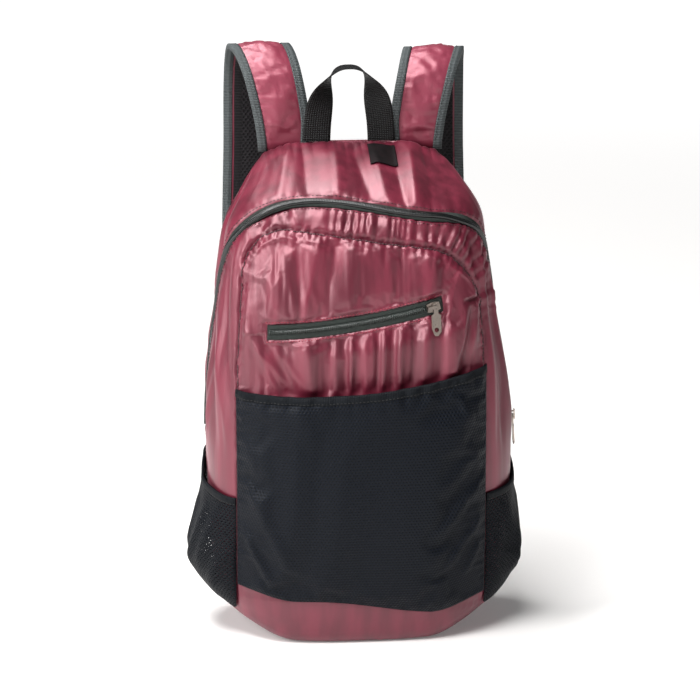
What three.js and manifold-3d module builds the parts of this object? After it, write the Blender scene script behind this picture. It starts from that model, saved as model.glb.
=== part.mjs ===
// Packable daypack in thin nylon. It stands on its base, stuffed out as for use: a hollow sack with a zip over
// the top, a zipped front pocket, three mesh pockets, a webbing haul loop and two light shoulder straps behind.
// Millimetres, +Z up, the front faces -Y and the origin is the middle of the flat of the base.
import * as THREE from "three";
import { mergeVertices } from "three/addons/utils/BufferGeometryUtils.js";
import Module from "manifold-3d";

const wasm = await Module();
wasm.setup();

// The sack.
const bagHeight = 440; // floor to the seam at the top
const bagWidth = 280; // at its widest, without the side pockets
const bagDepth = 147; // bulge of the front to the back wall
const clothWall = 1.4;
const baseWall = 2.4; // where the cloth turns round under the base
const sewGap = 0.4; // between two pieces that are sewn together
const cornerRise = 18; // how far the corners of the base curl up off the floor
const gatherRise = 3;
const creaseRise = 4;
const frontRound = 2.9; // squareness of the plan, 2 being an ellipse
const backRound = 4.4;

// Zips.
const mainZipWidth = 9; // what shows of the tape
const mainZipRib = 6; // the closed coil under its taut tape
const zipCrest = 0.915; // share of bagHeight where the zip crosses the front
const crestHeight = bagHeight * zipCrest;
const frontZipWidth = 14;
const frontZipRib = 5.2;
const zipThick = 1.1;
const ribRise = 1.9;

// The front panel and its mesh.
const panelWidth = 220;
const panelNarrow = 7; // how far each of its sides comes in from the mouth of the mesh to its top
const gatherBand = 30.6; // from the panel's top seam up to the middle of the main zip
const panelTop = crestHeight - gatherBand;
const panelSlant = 15; // how much higher its top's left end would lie than the middle
const panelFoot = 31;
const footRise = 14; // how much higher the left end of its foot lies
const panelCorner = 48;
const mouthHeight = 241;
const mouthRise = 9; // how much higher the mouth's right end lies than its middle
const meshWall = 1;
const frontMeshBulge = 12;
const frontZipLength = 155;
const frontZipDrop = 68; // from the panel's top seam down to the middle of the pocket zip
const frontZipHeight = panelTop - frontZipDrop;
const frontZipRise = 23; // how much higher its right end lies

// The side pockets.
const sidePocketFoot = 13;
const sidePocketFront = 138; // height of the mouth at the front seam
const sidePocketBack = 160; // height of the mouth at the back seam
const sidePocketBulge = { left: 21, right: 13 };
const hemWidth = 8;
const mainZipFoot = sidePocketBack + hemWidth + 14; // the main zip's two ends stop above the pockets

// Shoulder straps, haul loop and hardware.
const strapWidth = 55;
const strapPad = 4.6;
const strapEdge = 2.4;
const strapSpread = 61; // middle of a strap's root from the middle of the bag
const strapRise = { left: 82, right: 77 }; // above the top seam
const strapLength = 430; // padded part
const bindingWidth = 8;
const bindingWall = 1;
const liningWall = 1.2;
const loopWidth = 25;
const loopWall = 1.6;
const loopSpan = 59; // middle of one foot to the middle of the other
const loopRise = 69;
const loopShift = -1.5;
const webWidth = 20;
const webWall = 1.4;
const tailLength = 62;
const lockBar = 4;
const lockThick = 5;
const lockSlot = 6;
const anchorShare = 0.68; // the lower anchors' share of the way from the middle of the back to its side

// Slider and pull of a size 5 zip.
const sliderLength = 12;
const sliderWidth = 9;
const sliderThick = 3.6;
const postRadius = 0.9;
const eyeHole = 1.9;
const eyeRim = 1.7;
const pullWidth = 8.6;
const pullLength = 26;
const pullThick = 1.2;
const pullHole = 2.3;

// Sections of the sack from the base up. height is a share of bagHeight, side of half of bagWidth, front and
// back of bagDepth, measured from the widest plane, and lean of half of bagWidth.
const sections = [
  { height: 0.0, side: 0.42, front: 0.42, back: 0.31, lean: 0 },
  { height: 0.003, side: 0.76, front: 0.49, back: 0.36, lean: 0.01 },
  { height: 0.016, side: 0.87, front: 0.525, back: 0.388, lean: 0.015 },
  { height: 0.037, side: 0.915, front: 0.545, back: 0.405, lean: 0.02 },
  { height: 0.073, side: 0.945, front: 0.565, back: 0.415, lean: 0.02 },
  { height: 0.16, side: 0.965, front: 0.578, back: 0.42, lean: 0.02 },
  { height: 0.27, side: 0.985, front: 0.58, back: 0.42, lean: 0.02 },
  { height: 0.41, side: 0.995, front: 0.575, back: 0.42, lean: 0.02 },
  { height: 0.545, side: 0.965, front: 0.558, back: 0.42, lean: 0.01 },
  { height: 0.67, side: 0.905, front: 0.525, back: 0.42, lean: -0.003 },
  { height: 0.773, side: 0.862, front: 0.475, back: 0.418, lean: -0.008 },
  { height: 0.841, side: 0.83, front: 0.412, back: 0.415, lean: -0.003 },
  { height: 0.886, side: 0.775, front: 0.35, back: 0.412, lean: 0.01 },
  { height: 0.915, side: 0.735, front: 0.28, back: 0.408, lean: 0.01 },
  { height: 0.936, side: 0.7, front: 0.185, back: 0.405, lean: 0.01 },
  { height: 0.959, side: 0.66, front: 0.045, back: 0.4, lean: 0.01 },
  { height: 0.98, side: 0.62, front: -0.11, back: 0.396, lean: 0.005 },
  { height: 0.995, side: 0.58, front: -0.24, back: 0.39, lean: 0 },
  { height: 1.0, side: 0.555, front: -0.305, back: 0.385, lean: 0 },
];
// Gathers below the top zip. across and width are shares of half of panelWidth, rise of gatherRise.
const gathers = [
  { across: -0.93, width: 0.07, rise: 0.8 },
  { across: -0.72, width: 0.06, rise: 1.0 },
  { across: -0.5, width: 0.07, rise: 0.9 },
  { across: -0.3, width: 0.06, rise: 1.0 },
  { across: -0.1, width: 0.06, rise: 0.7 },
  { across: 0.08, width: 0.06, rise: 0.9 },
  { across: 0.26, width: 0.05, rise: 0.8 },
  { across: 0.43, width: 0.05, rise: 1.0 },
  { across: 0.6, width: 0.05, rise: 0.7 },
  { across: 0.76, width: 0.05, rise: 1.0 },
  { across: 0.93, width: 0.05, rise: 0.8 },
];
// Creases of the top, from one end to the other. Heights are shares of bagHeight, across and width of half of
// bagWidth, rise of creaseRise.
const topCreases = [
  { fromX: -0.5, fromZ: 0.99, toX: -0.62, toZ: 0.93, width: 0.07, rise: 0.5 },
  { fromX: -0.2, fromZ: 0.99, toX: -0.26, toZ: 0.925, width: 0.06, rise: 0.6 },
  { fromX: 0.25, fromZ: 0.99, toX: 0.3, toZ: 0.925, width: 0.06, rise: 0.6 },
  { fromX: 0.5, fromZ: 0.98, toX: 0.6, toZ: 0.925, width: 0.07, rise: 0.5 },
];
// Folds of the front panel, in shares of half of panelWidth and of bagHeight.
const panelCreases = [
  { fromX: -0.72, fromZ: 0.64, toX: -0.55, toZ: 0.56, width: 0.06, rise: 0.9 },
  { fromX: -0.86, fromZ: 0.63, toX: -0.8, toZ: 0.56, width: 0.05, rise: 0.7 },
  { fromX: -0.2, fromZ: 0.65, toX: -0.2, toZ: 0.57, width: 0.05, rise: 0.5 },
  { fromX: 0.1, fromZ: 0.66, toX: 0.1, toZ: 0.57, width: 0.05, rise: 0.5 },
  { fromX: 0.4, fromZ: 0.67, toX: 0.36, toZ: 0.58, width: 0.05, rise: 0.6 },
  { fromX: 0.88, fromZ: 0.8, toX: 0.76, toZ: 0.6, width: 0.06, rise: 1.0 },
  { fromX: 0.62, fromZ: 0.64, toX: 0.55, toZ: 0.57, width: 0.05, rise: 0.7 },
  { fromX: -0.4, fromZ: 0.84, toX: -0.45, toZ: 0.72, width: 0.1, rise: 0.5 },
  { fromX: 0.3, fromZ: 0.83, toX: 0.25, toZ: 0.74, width: 0.1, rise: 0.5 },
];
// Folds of the side walls above the pockets, the same on both sides. Depths are shares of bagDepth.
const sideCreases = [
  { fromX: -0.3, fromZ: 0.72, toX: -0.1, toZ: 0.45, width: 0.07, rise: 0.8 },
  { fromX: 0.0, fromZ: 0.66, toX: 0.1, toZ: 0.45, width: 0.06, rise: 0.6 },
];
// The top zip's way round the sack, from its right lower end. turn is in degrees, -90 being the middle of the
// front and 0 the right side, and height a share of the way from mainZipFoot to the row where the zip runs.
const zipWay = [
  { turn: 6, height: 0.0 },
  { turn: 3, height: 0.3 },
  { turn: -4, height: 0.56 },
  { turn: -14, height: 0.73 },
  { turn: -27, height: 0.85 },
  { turn: -43, height: 0.92 },
  { turn: -62, height: 0.945 },
  { turn: -90, height: 0.985 },
  { turn: -118, height: 1.0 },
  { turn: -137, height: 0.955 },
  { turn: -153, height: 0.85 },
  { turn: -166, height: 0.71 },
  { turn: -176, height: 0.54 },
  { turn: -183, height: 0.3 },
  { turn: -186, height: 0.0 },
];
// A shoulder strap from its root over the bend and down the back, for the right side. out is a share of
// strapSpread, back of bagDepth, up of strapRise above the top seam and down of strapLength below it.
const strapWay = [
  { out: 1.0, back: 0.362, up: 0.006, down: 0 },
  { out: 1.02, back: 0.364, up: 0.25, down: 0 },
  { out: 1.15, back: 0.41, up: 0.74, down: 0 },
  { out: 1.25, back: 0.51, up: 0.95, down: 0 },
  { out: 1.33, back: 0.64, up: 1.0, down: 0 },
  { out: 1.36, back: 0.76, up: 0.84, down: 0 },
  { out: 1.38, back: 0.82, up: 0.5, down: 0 },
  { out: 1.4, back: 0.835, up: 0, down: 0.03 },
  { out: 1.47, back: 0.81, up: 0, down: 0.24 },
  { out: 1.51, back: 0.765, up: 0, down: 0.375 },
  { out: 1.51, back: 0.735, up: 0, down: 0.435 },
];
// Width along a strap as a share of strapWidth, along being a share of the rows above.
const strapTaper = [
  { along: 0.0, width: 0.86 },
  { along: 0.18, width: 0.96 },
  { along: 0.4, width: 1.02 },
  { along: 0.68, width: 1.0 },
  { along: 0.84, width: 0.88 },
  { along: 1.0, width: 0.66 },
];

const colours = {
  nylon: { color: 0x8a3f50, roughness: 0.42, metalness: 0 },
  mesh: { color: 0x1c222b, roughness: 0.7, metalness: 0 },
  webbing: { color: 0x121314, roughness: 0.75, metalness: 0 },
  binding: { color: 0x5b5f60, roughness: 0.6, metalness: 0 },
  lining: { color: 0x17181a, roughness: 0.85, metalness: 0 },
  zip: { color: 0x1b1d1e, roughness: 0.45, metalness: 0 },
  patch: { color: 0x241a1b, roughness: 0.7, metalness: 0 },
  nickel: { color: 0xc7b7ae, roughness: 0.28, metalness: 1 },
  acetal: { color: 0x141516, roughness: 0.4, metalness: 0 },
};

const bag = new THREE.Group();

function place(name, geometry, finish) {
  const mesh = new THREE.Mesh(geometry, new THREE.MeshStandardMaterial(colours[finish]));
  mesh.name = name;
  bag.add(mesh);
}

const clamp = (t) => Math.min(1, Math.max(0, t));

function smooth(t) {
  const c = clamp(t);
  return c * c * (3 - 2 * c);
}

// A column of a table at a place between its rows, on a curve through them.
function columnAt(rows, name, at) {
  const i = Math.min(rows.length - 2, Math.max(0, Math.floor(at)));
  const t = Math.min(1, Math.max(0, at - i));
  const row = (k) => rows[Math.min(rows.length - 1, Math.max(0, k))][name];
  const [a, b, c, d] = [row(i - 1), row(i), row(i + 1), row(i + 2)];
  const bend = (2 * a - 5 * b + 4 * c - d) * t + (3 * b - a - 3 * c + d) * t * t;
  return 0.5 * (2 * b + (c - a) * t + bend * t);
}

// The place between the rows where a rising column reaches a value.
function rowWhere(rows, name, value) {
  let low = 0;
  let high = rows.length - 1;
  for (let step = 0; step < 40; step++) {
    const middle = (low + high) / 2;
    if (columnAt(rows, name, middle) < value) low = middle;
    else high = middle;
  }
  return (low + high) / 2;
}

const levelAt = (z) => rowWhere(sections, "height", z / bagHeight);
const halfAt = (level) => (columnAt(sections, "side", level) * bagWidth) / 2;
const leanAt = (level) => (columnAt(sections, "lean", level) * bagWidth) / 2;

// A point of the sack's plain outer surface. turn goes round it, level up the table of sections.
function plainPoint(turn, level) {
  const front = -columnAt(sections, "front", level) * bagDepth;
  const back = columnAt(sections, "back", level) * bagDepth;
  const middle = front + (back - front) * 0.57;
  const c = Math.cos(turn);
  const s = Math.sin(turn);
  const round = s < 0 ? frontRound : backRound;
  const r = (Math.abs(c) ** round + Math.abs(s) ** round) ** (-1 / round);
  const x = leanAt(level) + halfAt(level) * r * c;
  const y = middle + (s < 0 ? middle - front : back - middle) * r * s;
  const z = columnAt(sections, "height", level) * bagHeight;
  const flatHalf = (sections[0].side * bagWidth) / 2;
  const outward = (Math.abs(x) - flatHalf) / (bagWidth * 0.44 - flatHalf);
  const curl = cornerRise * smooth(outward) * (1 - smooth(z / (bagHeight * 0.3)));
  return new THREE.Vector3(x, y, z + curl);
}

// A point that lies lift off the surface, along its normal.
function skin(turn, level, lift) {
  const step = 0.02;
  const here = plainPoint(turn, level);
  const low = Math.max(0, level - step);
  const high = Math.min(sections.length - 1, level + step);
  const round = plainPoint(turn + step, level).sub(plainPoint(turn - step, level));
  const up = plainPoint(turn, high).sub(plainPoint(turn, low));
  return here.addScaledVector(round.cross(up).normalize(), lift);
}

// The turn at which the front or back of a section has this share of its half width.
function turnAt(share, onBack = false) {
  const round = onBack ? backRound : frontRound;
  const s = Math.min(0.999, Math.max(1e-4, Math.abs(share)));
  const slope = (s ** -round - 1) ** (1 / round);
  const angle = Math.atan2(slope, 1);
  const turn = share < 0 ? Math.PI - angle : angle;
  return onBack ? turn : -turn;
}

const frontTurn = (x, level) => turnAt((x - leanAt(level)) / halfAt(level));

// The height of a set of long creases at a point, each a soft ridge that fades towards its ends.
function ridges(rows, x, z, unitX) {
  let rise = 0;
  for (const row of rows) {
    const from = new THREE.Vector2(row.fromX * unitX, row.fromZ * bagHeight);
    const along = new THREE.Vector2(row.toX * unitX, row.toZ * bagHeight).sub(from);
    const length = along.length();
    along.normalize();
    const p = new THREE.Vector2(x, z).sub(from);
    const t = p.dot(along) / length;
    const off = Math.abs(p.cross(along)) / (row.width * unitX);
    rise += row.rise * creaseRise * Math.exp(-off * off) * smooth(t * 4) * smooth((1 - t) * 4);
  }
  return rise;
}

// Top edge of the front panel: round corners, and higher on the left. s runs from -1 to 1 across the panel.
function panelTopAt(s) {
  const past = Math.max(0, (Math.abs(s) * panelWidth) / 2 - (panelWidth / 2 - panelCorner));
  const drop = panelCorner - Math.sqrt(Math.max(0, panelCorner ** 2 - past ** 2));
  return panelTop - panelSlant * s - drop;
}

const panelFootAt = (s) => panelFoot + footRise * (1 - smooth(0.35 + s * 0.9));

const panelHalfAt = (z) => panelWidth / 2 - panelNarrow * smooth((z - mouthHeight) / (panelTop - mouthHeight));

// What the folds add to the sack's plain surface. It is never negative, so what lies behind stays clear.
function sackFolds(turn, level) {
  const p = plainPoint(turn, level);
  if (Math.sin(turn) >= 0.2) return 0;
  const halfPanel = panelHalfAt(p.z);
  const seam = panelTopAt(Math.min(1, Math.max(-1, p.x / halfPanel)));
  let rise = 0;
  if (p.z > seam && p.z < crestHeight + 1 && Math.abs(p.x) < halfPanel * 1.05) {
    const t = (p.z - seam - 5) / (crestHeight - seam - 5);
    for (const row of gathers) {
      const off = (p.x / halfPanel - row.across) / row.width;
      rise += row.rise * gatherRise * Math.exp(-off * off) * smooth(t * 3) * smooth((1 - t) * 3);
    }
  }
  if (p.z > crestHeight + mainZipWidth) rise += ridges(topCreases, p.x, p.z, bagWidth / 2);
  const beside = Math.abs(p.x) > halfPanel * 1.02 && p.z > sidePocketBack + hemWidth;
  return beside ? rise + ridges(sideCreases, p.y, p.z, bagDepth) : rise;
}

// One closed body from positions and triangles, turned so that its faces point out.
function closedMesh(points, triangles) {
  const p = points.map((v) => (v.isVector3 ? v : new THREE.Vector3(...v)));
  let volume = 0;
  for (const [a, b, c] of triangles) volume += p[a].dot(p[b].clone().cross(p[c]));
  const index = triangles.flatMap(([a, b, c]) => (volume < 0 ? [a, c, b] : [a, b, c]));
  const geometry = new THREE.BufferGeometry().setFromPoints(p);
  return geometry.setIndex(index);
}

// A wall between two grids of points with the same rows and columns.
function wallBetween(outer, inner) {
  const rows = outer.length;
  const cols = outer[0].length;
  const points = [...outer.flat(), ...inner.flat()];
  const out = (i, j) => i * cols + j;
  const within = (i, j) => rows * cols + i * cols + j;
  const triangles = [];
  const quad = (a, b, c, d) => triangles.push([a, b, c], [a, c, d]);
  for (let i = 0; i < rows - 1; i++)
    for (let j = 0; j < cols - 1; j++) {
      quad(out(i, j), out(i, j + 1), out(i + 1, j + 1), out(i + 1, j));
      quad(within(i, j), within(i + 1, j), within(i + 1, j + 1), within(i, j + 1));
    }
  for (let j = 0; j < cols - 1; j++) {
    quad(out(0, j), within(0, j), within(0, j + 1), out(0, j + 1));
    quad(out(rows - 1, j), out(rows - 1, j + 1), within(rows - 1, j + 1), within(rows - 1, j));
  }
  for (let i = 0; i < rows - 1; i++) {
    quad(out(i, 0), out(i + 1, 0), within(i + 1, 0), within(i, 0));
    quad(out(i, cols - 1), within(i, cols - 1), within(i + 1, cols - 1), out(i + 1, cols - 1));
  }
  return closedMesh(points, triangles);
}

// A closed body through rings of points, with a middle point at each end.
function throughRings(rings, first, last) {
  const n = rings[0].length;
  const points = [...rings.flat(), first, last];
  const at = (i, j) => i * n + (j % n);
  const end = rings.length - 1;
  const triangles = [];
  for (let j = 0; j < n; j++) {
    for (let i = 0; i < end; i++) {
      triangles.push([at(i, j), at(i, j + 1), at(i + 1, j + 1)]);
      triangles.push([at(i, j), at(i + 1, j + 1), at(i + 1, j)]);
    }
    triangles.push([points.length - 2, at(0, j + 1), at(0, j)]);
    triangles.push([points.length - 1, at(end, j), at(end, j + 1)]);
  }
  return closedMesh(points, triangles);
}

// A section carried along frames { p, side, up }. The section may change with the share of the way.
function swept(frames, sectionAt) {
  const outlines = frames.map((frame, i) => sectionAt(i / (frames.length - 1)));
  const n = outlines[0].length;
  const points = frames.flatMap((frame, i) =>
    outlines[i].map(([a, b]) =>
      frame.p.clone().addScaledVector(frame.side, a).addScaledVector(frame.up, b),
    ),
  );
  const triangles = [];
  for (let i = 0; i < frames.length - 1; i++)
    for (let j = 0; j < n; j++) {
      const k = (j + 1) % n;
      triangles.push([i * n + j, i * n + k, (i + 1) * n + k]);
      triangles.push([i * n + j, (i + 1) * n + k, (i + 1) * n + j]);
    }
  const contour = outlines[0].map(([a, b]) => new THREE.Vector2(a, b));
  const turned = THREE.ShapeUtils.area(contour) < 0;
  for (const face of THREE.ShapeUtils.triangulateShape(contour, [])) {
    const [a, b, c] = turned ? [face[0], face[2], face[1]] : face;
    const far = (frames.length - 1) * n;
    triangles.push([a, c, b], [far + a, far + b, far + c]);
  }
  return closedMesh(points, triangles);
}

const oblong = (width, low, high) => [
  [-width / 2, low],
  [width / 2, low],
  [width / 2, high],
  [-width / 2, high],
];

// A flat-topped rib, wider at its foot.
const rib = (width, low, high) => [
  [-width / 2, low],
  [width / 2, low],
  [width / 4, high],
  [-width / 4, high],
];

function toSolid(geometry) {
  const bare = geometry.clone();
  bare.deleteAttribute("normal");
  bare.deleteAttribute("uv");
  const merged = mergeVertices(bare, 1e-4);
  return new wasm.Manifold(
    new wasm.Mesh({
      numProp: 3,
      vertProperties: new Float32Array(merged.attributes.position.array),
      triVerts: new Uint32Array(merged.index.array),
    }),
  );
}

function toGeometry(solid) {
  const mesh = solid.getMesh();
  const points = new Float32Array(mesh.numVert * 3);
  for (let i = 0; i < mesh.numVert; i++)
    points.set(mesh.vertProperties.subarray(i * mesh.numProp, i * mesh.numProp + 3), i * 3);
  const geometry = new THREE.BufferGeometry();
  geometry.setAttribute("position", new THREE.BufferAttribute(points, 3));
  geometry.setIndex(new THREE.BufferAttribute(mesh.triVerts, 1));
  return geometry;
}

const cut = (body, ...tools) =>
  toGeometry(tools.reduce((solid, tool) => solid.subtract(toSolid(tool)), toSolid(body)));
const join = (first, ...others) =>
  toGeometry(others.reduce((solid, other) => solid.add(toSolid(other)), toSolid(first)));

// Frames along a line on the sack: side lies in the surface and up points out of it.
function framesOnSkin(placeAt, count) {
  const at = (t) => skin(...placeAt(clamp(t)), 0);
  const frames = [];
  for (let i = 0; i <= count; i++) {
    const t = i / count;
    const [turn, level] = placeAt(t);
    const p = at(t);
    const along = at(t + 0.004).sub(at(t - 0.004)).normalize();
    const up = skin(turn, level, 1).sub(p).normalize();
    const side = along.clone().cross(up).normalize();
    frames.push({ p, along, side, up: side.clone().cross(along).normalize() });
  }
  return frames;
}

// The top zip's way in turn and level.
function mainZipPlace(t) {
  const at = t * (zipWay.length - 1);
  const z = mainZipFoot + (crestHeight - mainZipFoot) * columnAt(zipWay, "height", at);
  return [THREE.MathUtils.degToRad(columnAt(zipWay, "turn", at)), levelAt(z)];
}

// The front pocket's zip, nearly level, with a slight sag.
function frontZipPlace(t) {
  const x = (t - 0.54) * frontZipLength;
  const sag = frontZipRise * 0.6 * t * (1 - t);
  const level = levelAt(frontZipHeight + (t - 0.5) * frontZipRise - sag);
  return [frontTurn(x, level), level];
}

function makeSack() {
  const frontSteps = 36;
  const backSteps = 12;
  const turns = [
    ...Array.from({ length: frontSteps }, (_, i) => -Math.PI + (i * Math.PI) / frontSteps),
    ...Array.from({ length: backSteps }, (_, i) => (i * Math.PI) / backSteps),
  ];
  const top = sections.length - 1;
  const levels = [];
  for (let level = 0; level <= top; level += level >= 11 && level < 13 ? 0.5 : 1) levels.push(level);
  const outer = levels.map((level) =>
    turns.map((turn) => skin(turn, level, level === 0 ? 0 : sackFolds(turn, level))),
  );
  for (const p of outer[0]) p.z = 0;
  const innerTurns = turns.filter((_, i) => i % 2 === 0);
  const wallAt = (level) => (level < 5 ? baseWall : clothWall);
  const inner = sections.map((_, level) => innerTurns.map((turn) => skin(turn, level, -wallAt(level))));
  for (const p of inner[0]) p.z = baseWall;
  const middleOf = (ring, z) => {
    const sum = ring.reduce((total, p) => total.add(p), new THREE.Vector3());
    return sum.divideScalar(ring.length).setZ(z);
  };
  const outside = throughRings(outer, middleOf(outer[0], 0), middleOf(outer[outer.length - 1], bagHeight));
  const inside = throughRings(inner, middleOf(inner[0], baseWall), middleOf(inner[inner.length - 1], bagHeight - clothWall));
  const slot = swept(framesOnSkin(mainZipPlace, 36), () => oblong(mainZipWidth, -4 * clothWall, creaseRise * 3));
  place("body_shell", cut(outside, inside, slot), "nylon");
}

// A cloth wall that follows the sack. placeAt gives turn and level at (s, t), lifts its two faces.
function clothOnSkin({ cols, rows, placeAt, low, high }) {
  const grid = (lift) =>
    Array.from({ length: rows + 1 }, (_, i) =>
      Array.from({ length: cols + 1 }, (_, j) => {
        const s = j / cols;
        const t = i / rows;
        return skin(...placeAt(s, t), lift(s, t));
      }),
    );
  return wallBetween(grid(high), grid(low));
}

// Columns across the front lie closer together towards its edges, where it turns away.
const acrossFront = (s) => Math.sin((s - 0.5) * 2.6) / Math.sin(1.3);

const panelLow = 2.2 * sewGap;
const panelHigh = panelLow + clothWall;
const meshLow = panelHigh + 1.5 * sewGap;

function makeFrontPanel() {
  const spot = (s, t) => {
    const across = acrossFront(s);
    const z = panelFootAt(across) + (panelTopAt(across) - panelFootAt(across)) * t;
    return [across * panelHalfAt(z), z];
  };
  const placeAt = (s, t) => {
    const [x, z] = spot(s, t);
    return [frontTurn(x, levelAt(z)), levelAt(z)];
  };
  const fold = (s, t) => {
    const [x, z] = spot(s, t);
    const edge = smooth(s * 8) * smooth((1 - s) * 8) * smooth((1 - t) * 8);
    return ridges(panelCreases, x, z, panelWidth / 2) * edge * smooth((z - mouthAt(x)) / hemWidth);
  };
  const sheet = clothOnSkin({
    cols: 20,
    rows: 11,
    placeAt,
    low: (s, t) => panelLow + fold(s, t),
    high: (s, t) => panelHigh + fold(s, t),
  });
  const slot = swept(framesOnSkin(frontZipPlace, 12), () => oblong(frontZipWidth, 0, creaseRise * 3));
  place("front_panel", cut(sheet, slot), "nylon");
}

// Mouth of the front mesh pocket: it dips left of the middle and rises to the right.
function mouthAt(x) {
  const s = (2 * x) / panelWidth;
  return mouthHeight + mouthRise * (s + 0.85 * s * s);
}

function frontMeshPlace(s, t) {
  const across = acrossFront(s);
  const x = (across * panelWidth) / 2;
  const level = levelAt(panelFootAt(across) + (mouthAt(x) - panelFootAt(across)) * t);
  return [frontTurn(x, level), level];
}

const frontMeshSwell = (s, t) =>
  frontMeshBulge * (4 * s * (1 - s)) ** 0.75 * Math.sin(Math.PI * Math.min(0.5, t * 0.9));

function makeFrontMesh() {
  place(
    "front_mesh_pocket",
    clothOnSkin({
      cols: 16,
      rows: 7,
      placeAt: frontMeshPlace,
      low: (s, t) => meshLow + frontMeshSwell(s, t),
      high: (s, t) => meshLow + meshWall + frontMeshSwell(s, t),
    }),
    "mesh",
  );
  const hemShare = hemWidth / (mouthHeight - panelFoot);
  const placeAt = (s, t) => frontMeshPlace(s, 1 - hemShare * (1 - t));
  const low = meshLow + meshWall + sewGap;
  place(
    "front_pocket_hem",
    clothOnSkin({
      cols: 16,
      rows: 1,
      placeAt,
      low: (s, t) => low + frontMeshSwell(s, 1 - hemShare * (1 - t)),
      high: (s, t) => low + meshWall + frontMeshSwell(s, 1 - hemShare * (1 - t)),
    }),
    "webbing",
  );
}

// Side pocket on the right at sign 1 and on the left at sign -1. s runs from the front seam to the back one.
function sidePocketPlace(sign) {
  const back = THREE.MathUtils.degToRad(36);
  return (s, t) => {
    const mouth = sidePocketFront + (sidePocketBack - sidePocketFront) * s ** 1.3;
    const level = levelAt(sidePocketFoot + (mouth - sidePocketFoot) * t);
    const seam = frontTurn(sign * (panelWidth / 2 + 2), level);
    const front = sign > 0 ? seam : -Math.PI - seam;
    const turn = front + (back - front) * s;
    return [sign > 0 ? turn : -Math.PI - turn, level];
  };
}

function sidePocketSwell(side) {
  const mouth = 0.16; // share of the bulge that is left at the mouth
  const full = 0.33; // how far up the pocket is fullest
  return (s, t) => {
    const up = t < full ? Math.sin((Math.PI / 2) * (t / full)) : mouth + (1 - mouth) * smooth((1 - t) / (1 - full));
    return sidePocketBulge[side] * (4 * s * (1 - s)) ** 0.7 * up;
  };
}

function makeSidePocket(side, sign) {
  const placeAt = sidePocketPlace(sign);
  const swell = sidePocketSwell(side);
  place(
    "side_mesh_pocket_" + side,
    clothOnSkin({
      cols: 10,
      rows: 8,
      placeAt,
      low: (s, t) => panelLow + swell(s, t),
      high: (s, t) => panelLow + meshWall + swell(s, t),
    }),
    "mesh",
  );
  const hemShare = hemWidth / (sidePocketBack - sidePocketFoot);
  const up = (t) => 1 - hemShare * (1 - t);
  const low = panelLow + meshWall + sewGap;
  place(
    "side_pocket_hem_" + side,
    clothOnSkin({
      cols: 10,
      rows: 1,
      placeAt: (s, t) => placeAt(s, up(t)),
      low: (s, t) => low + swell(s, up(t)),
      high: (s, t) => low + meshWall + swell(s, up(t)),
    }),
    "webbing",
  );
}

// A zip along a line on the sack: tape in the slot, and the closed coil standing on it.
function makeZip(name, placeAt, count, width, ribWidth, low) {
  const frames = framesOnSkin(placeAt, count);
  const inset = (t) => {
    const ends = sewGap / (frames[0].p.distanceTo(frames[1].p) * count);
    return placeAt(ends + (1 - 2 * ends) * t);
  };
  const inner = framesOnSkin(inset, count);
  place(name + "_tape", swept(inner, () => oblong(width - 2 * sewGap, low, low + zipThick)), "zip");
  return { frames: inner, ribLow: low + zipThick + sewGap, ribWidth };
}

// The coil stops where the slider sits.
function makeCoil(name, placeAt, count, from, to, width, low) {
  const part = (t) => placeAt(from + (to - from) * t);
  place(name + "_coil", swept(framesOnSkin(part, count), () => rib(width, low, low + ribRise)), "zip");
}

// Solids are drawn in x along the zip, y across it and z out of it, and then set on the sack.
function setOn(geometry, frame, along) {
  const x = along.clone().normalize();
  const z = frame.up.clone();
  const y = z.clone().cross(x).normalize();
  const basis = new THREE.Matrix4().makeBasis(y.clone().cross(z), y, z).setPosition(frame.p);
  return geometry.clone().applyMatrix4(basis);
}

const bailPost = 1.6; // where the bail's post stands that carries the pull, past the slider's middle
const bailNose = -4.2;
const platePlay = 0.45; // clearance over and under the pull's plate

function makeSlider(name, frame, along, low) {
  const outline = new THREE.Shape();
  outline.moveTo(sliderLength / 2, -sliderWidth * 0.36);
  outline.lineTo(sliderLength / 2, sliderWidth * 0.36);
  outline.lineTo(0, sliderWidth / 2);
  outline.lineTo(-sliderLength / 2, sliderWidth * 0.4);
  outline.lineTo(-sliderLength / 2, -sliderWidth * 0.4);
  outline.lineTo(0, -sliderWidth / 2);
  outline.closePath();
  const plate = new THREE.ExtrudeGeometry(outline, { depth: sliderThick, bevelEnabled: false });
  plate.translate(0, 0, low);
  const top = low + sliderThick;
  const reach = 2 * platePlay + pullThick;
  const post = (x) => {
    const rod = new THREE.CylinderGeometry(postRadius, postRadius, reach + 1, 10);
    return rod.rotateX(Math.PI / 2).translate(x, 0, top + reach / 2);
  };
  const bar = new THREE.BoxGeometry(bailPost - bailNose + 4 * postRadius, 2.6, 1.2);
  bar.translate((bailPost + bailNose) / 2, 0, top + reach + 0.6);
  place(name, setOn(join(plate, post(bailPost), post(bailNose), bar), frame, along), "nickel");
  return top + platePlay;
}

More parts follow.
